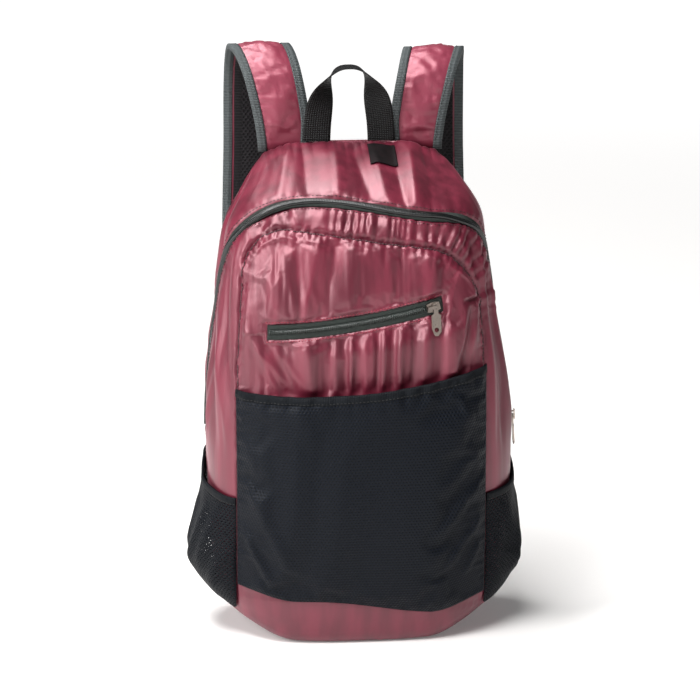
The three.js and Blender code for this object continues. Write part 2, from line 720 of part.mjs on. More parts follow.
// The pull hangs straight down from the post. Its own x is downhill, so it rests where gravity puts it.
function makePull(name, frame, along, low) {
  const shape = new THREE.Shape();
  const rim = eyeHole + eyeRim;
  const neck = eyeHole * 1.1;
  shape.absarc(0, 0, rim, Math.asin(neck / rim), 2 * Math.PI - Math.asin(neck / rim), false);
  shape.lineTo(rim + 2.4, -neck);
  shape.lineTo(rim + 4.2, -pullWidth / 2);
  shape.lineTo(pullLength - pullWidth * 0.42, -pullWidth / 2);
  shape.lineTo(pullLength, -pullWidth * 0.16);
  shape.lineTo(pullLength, pullWidth * 0.16);
  shape.lineTo(pullLength - pullWidth * 0.42, pullWidth / 2);
  shape.lineTo(rim + 4.2, pullWidth / 2);
  shape.lineTo(rim + 2.4, neck);
  shape.closePath();
  const eye = new THREE.Path();
  eye.absarc(0, 0, eyeHole, 0, 2 * Math.PI, true);
  const window = new THREE.Path();
  const far = pullLength - pullWidth * 0.62;
  for (let i = 0; i <= 6; i++) {
    const a = (-i * Math.PI) / 3;
    const at = [far + pullHole * Math.cos(a), pullHole * Math.sin(a)];
    if (i === 0) window.moveTo(...at);
    else window.lineTo(...at);
  }
  shape.holes.push(eye, window);
  const plate = new THREE.ExtrudeGeometry(shape, { depth: pullThick, bevelEnabled: false, curveSegments: 6 });
  plate.translate(0, 0, low);
  const down = new THREE.Vector3(0, 0, -1).projectOnPlane(frame.up).normalize();
  const post = frame.p.clone().addScaledVector(along, bailPost);
  place(name, setOn(toGeometry(toSolid(plate)), { p: post, up: frame.up }, down), "nickel");
}

function makeZips() {
  const tapeLow = -clothWall + 0.1;
  const main = makeZip("main_zip", mainZipPlace, 36, mainZipWidth, mainZipRib, tapeLow);
  const mainLength = main.frames.reduce(
    (sum, f, i, all) => (i ? sum + f.p.distanceTo(all[i - 1].p) : 0),
    0,
  );
  const clear = (sliderLength + 2 * sewGap) / mainLength;
  makeCoil("main_zip", mainZipPlace, 36, clear + 0.006, 0.99, main.ribWidth, main.ribLow);
  const foot = framesOnSkin((t) => mainZipPlace(clear * 0.55 + 0.002 * t), 1)[0];
  const down = foot.along.clone().negate();
  const mainPlate = makeSlider("main_zip_slider", foot, down, main.ribLow);
  makePull("main_zip_pull", foot, down, mainPlate);

  const frontLow = panelLow + 0.1;
  const front = makeZip("front_zip", frontZipPlace, 14, frontZipWidth, frontZipRib, frontLow);
  const share = (sliderLength + 2 * sewGap) / frontZipLength;
  const stop = 0.02; // share of the tape past the slider
  makeCoil("front_zip", frontZipPlace, 14, 0.015, 1 - share - stop, front.ribWidth, front.ribLow);
  const end = framesOnSkin((t) => frontZipPlace(1 - stop - share / 2 - 0.002 * t), 1)[0];
  const right = end.along.clone().negate();
  const frontPlate = makeSlider("front_zip_slider", end, right, front.ribLow);
  makePull("front_zip_pull", end, right, frontPlate);
}

function makeLoopPatch() {
  const placeAt = (s, t) => {
    const level = levelAt(bagHeight * (0.968 + 0.027 * t));
    return [frontTurn(loopSpan * 0.45 + loopWidth * (s - 0.5), level), level];
  };
  const rise = (s, t) => sackFolds(...placeAt(s, t));
  place(
    "loop_patch",
    clothOnSkin({
      cols: 6,
      rows: 2,
      placeAt,
      low: (s, t) => sewGap + rise(s, t) * 1.1,
      high: (s, t) => sewGap + meshWall + rise(s, t) * 1.1,
    }),
    "patch",
  );
}

const loopBack = bagDepth * 0.316; // the loop is sewn into the top seam in front of the straps

function makeHaulLoop() {
  const count = 24;
  const frames = [];
  const arch = (t) => {
    const a = Math.PI * t;
    const narrow = 1 - 0.1 * Math.sin(a);
    const x = loopShift - (loopSpan / 2) * Math.sign(Math.cos(a)) * Math.abs(Math.cos(a)) ** 0.75 * narrow;
    const z = bagHeight + 1 + (loopRise - 1) * Math.sin(a) ** 0.8;
    return new THREE.Vector3(x, loopBack, z);
  };
  const depthWise = new THREE.Vector3(0, 1, 0);
  for (let i = 0; i <= count; i++) {
    const t = i / count;
    const along = arch(Math.min(1, t + 0.01)).sub(arch(Math.max(0, t - 0.01))).normalize();
    const flat = depthWise.clone().cross(along);
    const twist = (Math.PI / 2) * smooth(Math.sin(Math.PI * t) ** 1.5);
    const side = flat.multiplyScalar(Math.cos(twist)).addScaledVector(depthWise, Math.sin(twist));
    frames.push({ p: arch(t), side, up: side.clone().cross(along).normalize() });
  }
  place("haul_loop", swept(frames, () => oblong(loopWidth, -loopWall / 2, loopWall / 2)), "webbing");
}

// Frames on a curve, at its points and halfway between them, for a band whose width stays level. up is on its
// outer face.
function framesOnCurve(curve) {
  const side = new THREE.Vector3(1, 0, 0);
  const count = (curve.points.length - 1) * 2;
  return Array.from({ length: count + 1 }, (_, i) => {
    const p = curve.getPoint(i / count);
    const along = curve.getTangent(i / count);
    return { p, along, side, up: side.clone().cross(along).normalize() };
  });
}

function strapCurve(side, sign) {
  const points = strapWay.map((row) => {
    const z = bagHeight + row.up * strapRise[side] - row.down * strapLength;
    return new THREE.Vector3(sign * row.out * strapSpread, row.back * bagDepth, z);
  });
  return new THREE.CatmullRomCurve3(points, false, "centripetal");
}

const rowAlong = (t) => rowWhere(strapTaper, "along", t);
const strapHalf = (t) => (columnAt(strapTaper, "width", rowAlong(t)) * strapWidth) / 2;

function makeStrap(side, sign) {
  const frames = framesOnCurve(strapCurve(side, sign));
  const low = -strapEdge / 2;
  const edge = strapEdge / 2;
  const pad = (t) => {
    const half = strapHalf(t) - bindingWall - sewGap;
    const flange = half - bindingWidth - sewGap;
    const crown = flange - strapPad;
    const rise = edge + (strapPad - strapEdge) * smooth(t * 12) * smooth((1 - t) * 8) + 0.2;
    return [[-half, low], [half, low], [half, edge], [flange, edge], [crown, rise], [-crown, rise],
      [-flange, edge], [-half, edge]];
  };
  place("shoulder_strap_" + side, swept(frames, pad), "nylon");
  const lining = (t) => {
    const width = 2 * (strapHalf(t) - bindingWall - bindingWidth - 2 * sewGap);
    return oblong(width, low - sewGap - liningWall, low - sewGap);
  };
  place("strap_lining_" + side, swept(frames, lining), "lining");
  for (const [where, hand] of [["outer", sign], ["inner", -sign]]) {
    const wrap = (t) => {
      const rim = strapHalf(t);
      const lip = rim - bindingWidth;
      const cave = rim - bindingWall;
      const within = edge + sewGap * 0.75;
      const out = within + bindingWall;
      const line = [[lip, within], [cave, within], [cave, -within], [lip, -within], [lip, -out], [rim, -out],
        [rim, out], [lip, out]];
      return line.map(([a, b]) => [a * hand, b]);
    };
    place("strap_binding_" + where + "_" + side, swept(frames, wrap), "binding");
  }
  makeStrapEnd(side, sign, frames[frames.length - 1]);
}

// A route in the plane of a strap's run, in (down the strap, out of it), as a curve in space.
function routeCurve(root, pairs) {
  const points = pairs.map(([down, out]) =>
    root.p.clone().addScaledVector(root.along, down).addScaledVector(root.up, out),
  );
  return new THREE.CatmullRomCurve3(points, false, "centripetal");
}

// The end loop, the ladder lock and the lower webbing with its tail, down to the anchor on the back wall.
function makeStrapEnd(side, sign, end) {
  const lockStart = 16; // from the end of the pad to the lock's first bar
  const play = webWall / 2 + 1.5 * sewGap; // from a bar's face to the middle of the webbing round it
  const layer = lockThick / 2 + play;
  const pitch = lockBar + lockSlot;
  const bars = [0, pitch, 2 * pitch].map((d) => lockStart + d);
  const turned = layer - play - 0.3; // where the webbing starts to turn over a bar's edge
  const straightRun = 26; // of the webbing that comes up to the lock from the anchor
  const eyeAt = bars[0] + lockBar + play;
  const upper = [
    [1, layer * 0.45],
    [lockStart - 6, layer * 0.8],
    [bars[0], layer],
    [bars[0] + lockBar - 0.3, layer],
    [eyeAt, turned],
    [eyeAt, 0],
  ];
  const endLoop = [...upper, ...upper.slice(0, -1).reverse().map(([down, out]) => [down, -out])];
  const band = (width) => () => oblong(width, -webWall / 2, webWall / 2);
  place("strap_end_loop_" + side, swept(framesOnCurve(routeCurve(end, endLoop)), band(webWidth)), "webbing");

  const lockWidth = webWidth + 2 * (lockBar + sewGap);
  const lockLength = 2 * pitch + lockBar;
  const frame = new THREE.BoxGeometry(lockLength, lockWidth, lockThick).translate(lockLength / 2, 0, 0);
  const slots = [0, 1].map((i) => {
    const slot = new THREE.BoxGeometry(lockSlot, webWidth + 2 * sewGap, lockThick * 2);
    return slot.translate(lockBar + lockSlot / 2 + i * pitch, 0, 0);
  });
  const seat = end.p.clone().addScaledVector(end.along, lockStart);
  const lock = setOn(cut(frame, ...slots), { p: seat, up: end.up }, end.along);
  place("ladder_lock_" + side, lock, "acetal");

  const anchorLevel = levelAt(bagHeight * 0.1);
  const anchorTurn = turnAt(sign * anchorShare, true);
  const tabLift = 2 * sewGap;
  const seatLift = tabLift + webWall + 2.8 * sewGap + webWall / 2;
  const anchor = skin(anchorTurn, anchorLevel, seatLift);
  const above = skin(anchorTurn, anchorLevel + 0.5, seatLift + 2);
  const under = -layer - webWall - 3 * sewGap;
  const way = routeCurve(end, [
    [bars[2] + straightRun, under * 1.15],
    [bars[2], under],
    [bars[1] + 2, under],
    [bars[1] - play, -turned],
    [bars[1] - play, turned],
    [bars[1] + 0.3, layer],
    [bars[1] + lockBar - 0.3, layer],
    [bars[1] + lockBar + play, turned],
    [bars[1] + lockBar + play, -turned],
    [bars[2] + 0.3, -layer],
    [bars[2] + lockBar + 6, -layer],
    [bars[2] + tailLength * 0.6, -layer + 2],
    [bars[2] + tailLength, -layer + 5],
  ]);
  const webbing = new THREE.CatmullRomCurve3([anchor, above, ...way.points], false, "centripetal");
  place("lower_webbing_" + side, swept(framesOnCurve(webbing), band(webWidth - 0.6)), "webbing");

  const tabAt = (s, t) => {
    const level = anchorLevel - 0.25 + 0.8 * t;
    const reach = webWidth * (0.6 + 0.55 * t);
    return [turnAt(sign * anchorShare + ((s - 0.5) * 2 * reach) / bagWidth, true), level];
  };
  const tab = { cols: 3, rows: 2, placeAt: tabAt, low: () => tabLift, high: () => tabLift + webWall };
  place("anchor_tab_" + side, clothOnSkin(tab), "nylon");
}

makeSack();
makeFrontPanel();
makeFrontMesh();
makeSidePocket("right", 1);
makeSidePocket("left", -1);
makeZips();
makeLoopPatch();
makeHaulLoop();
makeStrap("right", 1);
makeStrap("left", -1);

export default bag;
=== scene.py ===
import math

import bmesh
import bpy
import numpy as np
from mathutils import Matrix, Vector
from mathutils.bvhtree import BVHTree


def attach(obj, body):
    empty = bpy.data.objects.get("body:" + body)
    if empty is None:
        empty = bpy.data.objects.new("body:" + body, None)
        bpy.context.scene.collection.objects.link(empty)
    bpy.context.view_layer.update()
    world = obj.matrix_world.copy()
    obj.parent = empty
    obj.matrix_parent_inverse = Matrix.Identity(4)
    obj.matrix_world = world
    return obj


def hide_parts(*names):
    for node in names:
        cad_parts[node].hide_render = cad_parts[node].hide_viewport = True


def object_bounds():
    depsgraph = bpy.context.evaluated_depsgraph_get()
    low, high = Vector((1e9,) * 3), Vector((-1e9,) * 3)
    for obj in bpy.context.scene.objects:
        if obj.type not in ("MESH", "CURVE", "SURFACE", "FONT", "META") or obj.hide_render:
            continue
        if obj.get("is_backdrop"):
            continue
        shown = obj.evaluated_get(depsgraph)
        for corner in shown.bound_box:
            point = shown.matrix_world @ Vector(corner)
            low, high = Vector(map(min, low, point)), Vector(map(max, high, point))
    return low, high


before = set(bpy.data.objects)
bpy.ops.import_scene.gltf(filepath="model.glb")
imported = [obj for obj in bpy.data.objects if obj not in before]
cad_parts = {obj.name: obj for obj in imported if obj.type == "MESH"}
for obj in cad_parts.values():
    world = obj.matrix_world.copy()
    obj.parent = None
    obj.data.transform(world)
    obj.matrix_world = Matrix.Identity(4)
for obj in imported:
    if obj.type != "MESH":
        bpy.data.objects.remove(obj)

# Packable daypack of thin maroon nylon, filled out and standing on its base. Lengths are in millimetres, as
# on a pattern sheet, until newPiece turns a finished mesh into metres.
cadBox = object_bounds()
print("frame loaded, height", round(cadBox[1].z, 3))

# Camera, light and floor

shot = {
    "azimuth": -5, "elevation": 15, "distance": 2.6,  # seen a little from above and from the left
    "target": (0, 0, 0.22),
    "lens": 146,
    "slide": -0.0046, "climb": 0.0348,  # metres across and up, so that the bag sits as in the picture
}
light = {
    "lamps": {  # place, width and height in metres, and power in watts
        "key": ((-1.55, -0.95, 1.05), 0.45, 1.2, 36),  # from far left, so that folds turn light and dark
        "top": ((-0.4, -1.0, 2.0), 0.9, 0.6, 38),
        "fill": ((1.2, -2.0, 0.9), 0.6, 0.8, 2),
        "over": ((-0.6, 0.2, 2.05), 1.3, 0.7, 44),
    },
    "sky": 0.1,
    "floor": "#eceae8",
    "glow": (0.12, 0.95), "glowFrom": (0.9, 3.4),  # near and far, and at how many metres
    "floorReach": 14,
}


def hexToLinear(code):
    parts = [int(code[i : i + 2], 16) / 255 for i in (1, 3, 5)]
    linear = [c / 12.92 if c <= 0.04045 else ((c + 0.055) / 1.055) ** 2.4 for c in parts]
    return (*linear, 1.0)


def addNode(tree, kind, settings=None, links=None):
    # a setting or link is named by the node's own property or by its socket
    node = tree.nodes.new(kind)
    for name, value in (settings or {}).items():
        if isinstance(name, str) and hasattr(node, name):
            setattr(node, name, value)
        else:
            node.inputs[name].default_value = value
    for name, socket in (links or {}).items():
        tree.links.new(socket, node.inputs[name])
    return node


def setCamera():
    a, e = math.radians(shot["azimuth"]), math.radians(shot["elevation"])
    back = Vector((math.sin(a) * math.cos(e), -math.cos(a) * math.cos(e), math.sin(e)))
    turned = (-back).to_track_quat("-Z", "Y")
    right, up = turned @ Vector((1, 0, 0)), turned @ Vector((0, 1, 0))
    camera = bpy.data.objects.new("camera", bpy.data.cameras.new("camera"))
    bpy.context.scene.collection.objects.link(camera)
    camera.data.lens = shot["lens"]
    camera.location = (
        Vector(shot["target"]) + back * shot["distance"] + right * shot["slide"] + up * shot["climb"]
    )
    camera.rotation_mode = "QUATERNION"
    camera.rotation_quaternion = turned
    bpy.context.scene.camera = camera


def setLight():
    for name, (place, width, height, power) in light["lamps"].items():
        lamp = bpy.data.objects.new(name + "_light", bpy.data.lights.new(name + "_light", "AREA"))
        lamp.data.shape = "RECTANGLE"
        lamp.data.size, lamp.data.size_y = width, height
        lamp.data.energy = power
        lamp.location = place
        lamp.rotation_euler = (Vector(shot["target"]) - lamp.location).to_track_quat("-Z", "Y").to_euler()
        bpy.context.scene.collection.objects.link(lamp)
    world = bpy.data.worlds.new("studio")
    bpy.context.scene.world = world
    world.use_nodes = True
    world.node_tree.nodes["Background"].inputs["Color"].default_value = (1, 1, 1, 1)
    world.node_tree.nodes["Background"].inputs["Strength"].default_value = light["sky"]
    bpy.context.scene.view_settings.view_transform = "Standard"


def setFloor():
    # a wide white table, lit from below towards its rim, so that the bag stands on white from every side
    reach = light["floorReach"]
    mesh = bpy.data.meshes.new("floor")
    corners = [(-reach, -reach, 0), (reach, -reach, 0), (reach, reach, 0), (-reach, reach, 0)]
    mesh.from_pydata(corners, [], [(0, 1, 2, 3)])
    floor = bpy.data.objects.new("floor", mesh)
    bpy.context.scene.collection.objects.link(floor)
    material = bpy.data.materials.new("opal_acrylic_table")
    material.use_nodes = True
    surface = material.node_tree.nodes["Principled BSDF"]
    surface.inputs["Base Color"].default_value = hexToLinear(light["floor"])
    surface.inputs["Roughness"].default_value = 0.9
    surface.inputs["Specular IOR Level"].default_value = 0.0
    surface.inputs["Emission Color"].default_value = (1, 1, 1, 1)
    tree = material.node_tree
    place = addNode(tree, "ShaderNodeTexCoord").outputs["Object"]
    away = addNode(tree, "ShaderNodeVectorMath", {"operation": "LENGTH"}, {0: place}).outputs["Value"]
    (near, far), (start, end) = light["glow"], light["glowFrom"]
    glow = addNode(tree, "ShaderNodeMapRange", {1: start, 2: end, 3: near, 4: far}, {0: away})
    tree.links.new(glow.outputs[0], surface.inputs["Emission Strength"])
    mesh.materials.append(material)
    floor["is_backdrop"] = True


setCamera()
setLight()
setFloor()
print("camera, light and floor set")

# Meshes

mm = 0.001


def newPiece(name, points, faces, finish, uv=None):
    # points in mm; uv, one pair for each point, in mm too
    mesh = bpy.data.meshes.new(name)
    mesh.from_pydata((np.asarray(points) * mm).tolist(), [], [list(f) for f in faces])
    if uv is not None:
        corners = np.zeros(len(mesh.loops), int)
        mesh.loops.foreach_get("vertex_index", corners)
        layer = mesh.uv_layers.new(name="UVMap")
        layer.data.foreach_set("uv", (np.asarray(uv)[corners] * mm).astype(np.float32).ravel())
    shape = bmesh.new()
    shape.from_mesh(mesh)
    bmesh.ops.recalc_face_normals(shape, faces=shape.faces)
    shape.to_mesh(mesh)
    shape.free()
    mesh.shade_smooth()
    mesh.materials.append(finish)
    piece = bpy.data.objects.new(name, mesh)
    bpy.context.scene.collection.objects.link(piece)
    return piece


def seat(piece, slot, *nodes):
    # everything but the two pulls belongs to the bag's own body
    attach(piece, "bag")
    if nodes:
        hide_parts(*nodes)
    return piece


def gridFaces(rows, cols, closed=False, start=0):
    i, j = np.meshgrid(np.arange(rows - 1), np.arange(cols if closed else cols - 1), indexing="ij")
    k = (j + 1) % cols
    corners = [i * cols + j, i * cols + k, (i + 1) * cols + k, (i + 1) * cols + j]
    return (np.stack(corners, -1).reshape(-1, 4) + start).tolist()


def wallBetween(outer, inner):
    # a closed sheet from its two faces, grids of the same rows and columns
    rows, cols = outer.shape[:2]
    count = rows * cols
    edge = np.concatenate([
        np.arange(cols), np.arange(1, rows) * cols + cols - 1,
        (rows - 1) * cols + np.arange(cols - 2, -1, -1), np.arange(rows - 2, 0, -1) * cols,
    ])
    after = np.roll(edge, -1)
    rim = np.stack([edge, after, after + count, edge + count], -1).tolist()
    faces = gridFaces(rows, cols) + gridFaces(rows, cols, start=count) + rim
    return np.concatenate([outer.reshape(-1, 3), inner.reshape(-1, 3)]), faces


def sweep(line, outline):
    # line is (p, side, up) at each station; outline is one section for all of them, or one for each
    p, side, up = line
    outline = np.broadcast_to(outline, (len(p), *np.shape(outline)[-2:]))
    points = p[:, None] + side[:, None] * outline[..., :1] + up[:, None] * outline[..., 1:]
    n, k = points.shape[:2]
    faces = gridFaces(n, k, closed=True) + [list(range(k))[::-1], list(range((n - 1) * k, n * k))]
    uv = np.stack(np.broadcast_arrays(runAlong(outline[0])[None], runAlong(p)[:, None]), -1).reshape(-1, 2)
    return points.reshape(-1, 3), faces, uv


def joined(parts):
    # several (points, faces, uv) as one
    points, faces, uv, start = [], [], [], 0
    for p, f, u in parts:
        points.append(p)
        uv.append(u)
        faces += [[v + start for v in face] for face in f]
        start += len(p)
    return np.concatenate(points), faces, np.concatenate(uv)


def repeated(points, faces, line):
    # copies of one small shape, drawn in (along, side, up), at each station of a line
    p, side, up = line
    along = np.cross(up, side)
    axes = (along, side, up)
    places = p[:, None] + sum(axis[:, None] * points[None, :, k, None] for k, axis in enumerate(axes))
    start = np.arange(len(p)) * len(points)
    made = [[v + s for v in face] for s in start for face in faces]
    return places.reshape(-1, 3), made, np.zeros((len(p) * len(points), 2))


def unit(vectors):
    return vectors / np.linalg.norm(vectors, axis=-1, keepdims=True)


def runAlong(points):
    # the length of a line of points up to each of them
    return np.concatenate([[0], np.cumsum(np.linalg.norm(np.diff(points, axis=0), axis=1))])


def smooth(t):
    c = np.clip(t, 0, 1)
    return c * c * (3 - 2 * c)


def noiseAt(x, y, seed):
    # smooth random hills, one to a unit, from -1 to 1
    x, y = np.broadcast_arrays(np.asarray(x, float), np.asarray(y, float))
    hills = np.random.default_rng(seed).uniform(-1, 1, (256, 256))
    i, j = np.floor(x).astype(int), np.floor(y).astype(int)
    u, v = smooth(x - i), smooth(y - j)
    at = lambda a, b: hills[a & 255, b & 255]
    low = at(i, j) * (1 - u) + at(i + 1, j) * u
    high = at(i, j + 1) * (1 - u) + at(i + 1, j + 1) * u
    return low * (1 - v) + high * v


# The sack's surface. These are the sizes and sections that the frame was built from.

bag = {
    "height": 440, "width": 280, "depth": 147,
    "cornerRise": 18,  # how far the base's corners curl up off the floor
    "frontRound": 2.9, "backRound": 4.4,  # squareness of the plan, 2 being an ellipse
    "zipCrest": 0.915, "zipFoot": 182,
}
sections = {  # shares of the height, of half the width and of the depth, from the base up
    "height": [0, 0.003, 0.016, 0.037, 0.073, 0.16, 0.27, 0.41, 0.545, 0.67, 0.773, 0.841, 0.886, 0.915,
               0.936, 0.959, 0.98, 0.995, 1],
    "side": [0.42, 0.76, 0.87, 0.915, 0.945, 0.965, 0.985, 0.995, 0.965, 0.905, 0.862, 0.83, 0.775, 0.735,
             0.7, 0.66, 0.62, 0.58, 0.555],
    "front": [0.42, 0.49, 0.525, 0.545, 0.565, 0.578, 0.58, 0.575, 0.558, 0.525, 0.475, 0.412, 0.35, 0.28,
              0.185, 0.045, -0.11, -0.24, -0.305],
    "back": [0.31, 0.36, 0.388, 0.405, 0.415, 0.42, 0.42, 0.42, 0.42, 0.42, 0.418, 0.415, 0.412, 0.408, 0.405,
             0.4, 0.396, 0.39, 0.385],
    "lean": [0, 0.01, 0.015, 0.02, 0.02, 0.02, 0.02, 0.02, 0.01, -0.003, -0.008, -0.003, 0.01, 0.01, 0.01,
             0.01, 0.005, 0, 0],
}
topLevel = len(sections["height"]) - 1


def columnAt(column, at):
    # a smooth curve through the rows of a column
    column = np.asarray(column, float)
    last = len(column) - 1
    at = np.clip(at, 0, last)
    i = np.minimum(at.astype(int), last - 1)
    t = at - i
    a, b, c, d = (column[np.clip(i + k, 0, last)] for k in (-1, 0, 1, 2))
    return 0.5 * (2 * b + (c - a) * t + (2 * a - 5 * b + 4 * c - d) * t**2 + (3 * b - a - 3 * c + d) * t**3)


sackLevels = np.linspace(0, topLevel, 6001)
sackHeights = columnAt(sections["height"], sackLevels) * bag["height"]


def levelAt(z):
    return np.interp(z, sackHeights, sackLevels)


def halfAt(level):
    return columnAt(sections["side"], level) * bag["width"] / 2


def leanAt(level):
    return columnAt(sections["lean"], level) * bag["width"] / 2


def plainPoint(turn, level):
    # turn runs round the sack, -90 degrees being the middle of the front and 0 its right side
    turn, level = np.broadcast_arrays(np.asarray(turn, float), np.asarray(level, float))
    front = -columnAt(sections["front"], level) * bag["depth"]
    back = columnAt(sections["back"], level) * bag["depth"]
    middle = front + (back - front) * 0.57
    c, s = np.cos(turn), np.sin(turn)
    squareness = np.where(s < 0, bag["frontRound"], bag["backRound"])
    r = (np.abs(c) ** squareness + np.abs(s) ** squareness) ** (-1 / squareness)
    x = leanAt(level) + halfAt(level) * r * c
    y = middle + np.where(s < 0, middle - front, back - middle) * r * s
    z = columnAt(sections["height"], level) * bag["height"]
    flatHalf = sections["side"][0] * bag["width"] / 2
    outward = (np.abs(x) - flatHalf) / (bag["width"] * 0.44 - flatHalf)
    curl = bag["cornerRise"] * smooth(outward) * (1 - smooth(z / (bag["height"] * 0.3)))
    return np.stack([x, y, z + curl], -1)


def skin(turn, level, lift=0.0):
    # a point that lies lift mm off the sack's plain surface
    step = 0.02
    turn, level = np.broadcast_arrays(np.asarray(turn, float), np.asarray(level, float))
    around = plainPoint(turn + step, level) - plainPoint(turn - step, level)
    above, below = np.minimum(topLevel, level + step), np.maximum(0, level - step)
    upward = plainPoint(turn, above) - plainPoint(turn, below)
    return plainPoint(turn, level) + unit(np.cross(around, upward)) * np.asarray(lift, float)[..., None]


def turnAt(share, onBack=False):
    squareness = bag["backRound"] if onBack else bag["frontRound"]
    s = np.clip(np.abs(share), 1e-4, 0.999)
    angle = np.arctan2((s**-squareness - 1) ** (1 / squareness), 1)
    turn = np.where(np.asarray(share) < 0, math.pi - angle, angle)
    return turn if onBack else -turn


def frontTurn(x, level):
    return turnAt((x - leanAt(level)) / halfAt(level))


# Lines of the pattern: the panel, its pocket and the zips

panel = {
    "width": 220, "narrow": 7, "top": 372, "slant": 15, "foot": 31, "footRise": 14, "corner": 48,
    "mouth": 241, "mouthRise": 9,
    "low": 0.88, "wall": 1.4,  # where its back lies off the sack, and how thick it is in the frame
}
frontPocket = {"low": 2.88, "wall": 1.0, "bulge": 12, "hem": 8}
sidePocket = {
    "foot": 13, "front": 138, "back": 160, "backTurn": 36, "low": 0.88,
    "bulge": {"left": 21, "right": 13}, "mouthShare": 0.16, "fullest": 0.33, "hem": 8,
}
mainZip = {
    "turns": [6, 3, -4, -14, -27, -43, -62, -90, -118, -137, -153, -166, -176, -183, -186],
    "heights": [0, 0.3, 0.56, 0.73, 0.85, 0.92, 0.945, 0.985, 1, 0.955, 0.85, 0.71, 0.54, 0.3, 0],
    "width": 9, "rib": 6.0, "ribRise": 2.4, "waver": 2.0, "ridgeFrom": 0.026,
}
frontZip = {
    "length": 155, "height": 304, "rise": 23, "sag": 0.6, "width": 14,
    "middle": 0.54,  # share of its length that lies left of the bag's middle
    "coilFrom": 0.015, "coilTo": 0.89, "teethPitch": 1.7,
}


def panelTopAt(s):
    half = panel["width"] / 2
    past = np.maximum(0, np.abs(s) * half - (half - panel["corner"]))
    drop = panel["corner"] - np.sqrt(np.maximum(0, panel["corner"] ** 2 - past**2))
    return panel["top"] - panel["slant"] * s - drop


def panelFootAt(s):
    return panel["foot"] + panel["footRise"] * (1 - smooth(0.35 + s * 0.9))


def panelHalfAt(z):
    up = (z - panel["mouth"]) / (panel["top"] - panel["mouth"])
    return panel["width"] / 2 - panel["narrow"] * smooth(up)


def mouthAt(x):
    s = 2 * x / panel["width"]
    return panel["mouth"] + panel["mouthRise"] * (s + 0.85 * s * s)


frontBend = 1.3  # how much closer the columns lie towards the panel's sides, where it turns away


def acrossFront(s):
    return np.sin((2 * s - 1) * frontBend) / math.sin(frontBend)


def onFront(x, z):
    level = levelAt(z)
    return frontTurn(x, level), level


def mainZipPlace(t):
    at = np.clip(t, 0, 1) * (len(mainZip["turns"]) - 1)
    crest = bag["height"] * bag["zipCrest"]
    z = bag["zipFoot"] + (crest - bag["zipFoot"]) * columnAt(mainZip["heights"], at)
    return np.radians(columnAt(mainZip["turns"], at)), levelAt(z)


def frontZipHeight(t):
    return frontZip["height"] + frontZip["rise"] * (t - 0.5 - frontZip["sag"] * t * (1 - t))


def frontZipPlace(t):
    t = np.clip(t, 0, 1)
    return onFront((t - frontZip["middle"]) * frontZip["length"], frontZipHeight(t))


def zipWindow(x, z):
    # how far outside the pocket zip's window a point lies, negative inside, and how far along the zip
    slope = math.atan2(frontZip["rise"], frontZip["length"])
    t = np.clip(x / frontZip["length"] + frontZip["middle"], 0, 1)
    along = (x + (frontZip["middle"] - 0.5) * frontZip["length"]) / math.cos(slope)
    across = np.abs(z - frontZipHeight(t)) * math.cos(slope) - frontZip["width"] / 2
    beyond = np.abs(along) - frontZip["length"] / 2 - 0.3
    outside = np.where((across > 0) & (beyond > 0), np.hypot(across, beyond), np.maximum(across, beyond))
    return outside, along


def sidePocketPlace(sign):
    def placeAt(s, t):
        mouth = sidePocket["front"] + (sidePocket["back"] - sidePocket["front"]) * s**1.3
        level = levelAt(sidePocket["foot"] + (mouth - sidePocket["foot"]) * t)
        seam = frontTurn(sign * (panel["width"] / 2 + 2), level)
        front = seam if sign > 0 else -math.pi - seam
        turn = front + (math.radians(sidePocket["backTurn"]) - front) * s
        return (turn if sign > 0 else -math.pi - turn), level
    return placeAt


def stationsBy(placeAt, spacing, fromT=0.0, toT=1.0):
    # shares of a line on the sack that lie the same length apart
    t = np.linspace(fromT, toT, 1500)
    run = runAlong(skin(*placeAt(t)))
    return np.interp(np.linspace(0, run[-1], max(2, round(run[-1] / spacing) + 1)), run, t)


def framed(p, along, up):
    side = unit(np.cross(along, up))
    return p, side, np.cross(side, along)


def lineOnSkin(placeAt, t):
    # (p, side, up) along a line: side lies in the surface and up points out of it
    p = skin(*placeAt(t))
    along = skin(*placeAt(np.minimum(1, t + 0.002))) - skin(*placeAt(np.maximum(0, t - 0.002)))
    return framed(p, unit(along), skin(*placeAt(t), 1.0) - p)


def shifted(line, across=0.0, lift=0.0):
    p, side, up = line
    across, lift = (np.broadcast_to(v, len(p))[:, None] for v in (across, lift))
    return p + side * across + up * lift, side, up


def treeOf(piece):
    mesh = piece.data
    return BVHTree.FromPolygons([v.co for v in mesh.vertices], [f.vertices for f in mesh.polygons])


def laidOn(line, tree, lift=0.0):
    # drops a line onto the outside of a finished piece
    p, side, up = line
    placed = []
    for here, out in zip(p, up):
        hit = tree.ray_cast(Vector((here + out * 25) * mm), Vector(-out), 0.06)[0]
        placed.append(here if hit is None else np.array(hit) / mm)
    return np.array(placed) + up * lift, side, up


def nearLine(points, line):
    # how far each point lies from a line of close points, and how far along it that is
    flat = points.reshape(-1, 3).astype(np.float32)
    run = runAlong(line)
    far, along = np.empty(len(flat)), np.empty(len(flat))
    for start in range(0, len(flat), 4096):
        some = flat[start : start + 4096]
        gap = np.linalg.norm(some[:, None] - line[None].astype(np.float32), axis=-1)
        best = gap.argmin(1)
        far[start : start + 4096] = gap[np.arange(len(some)), best]
        along[start : start + 4096] = run[best]
    return far.reshape(points.shape[:-1]), along.reshape(points.shape[:-1])


# Folds of thin cloth, in mm

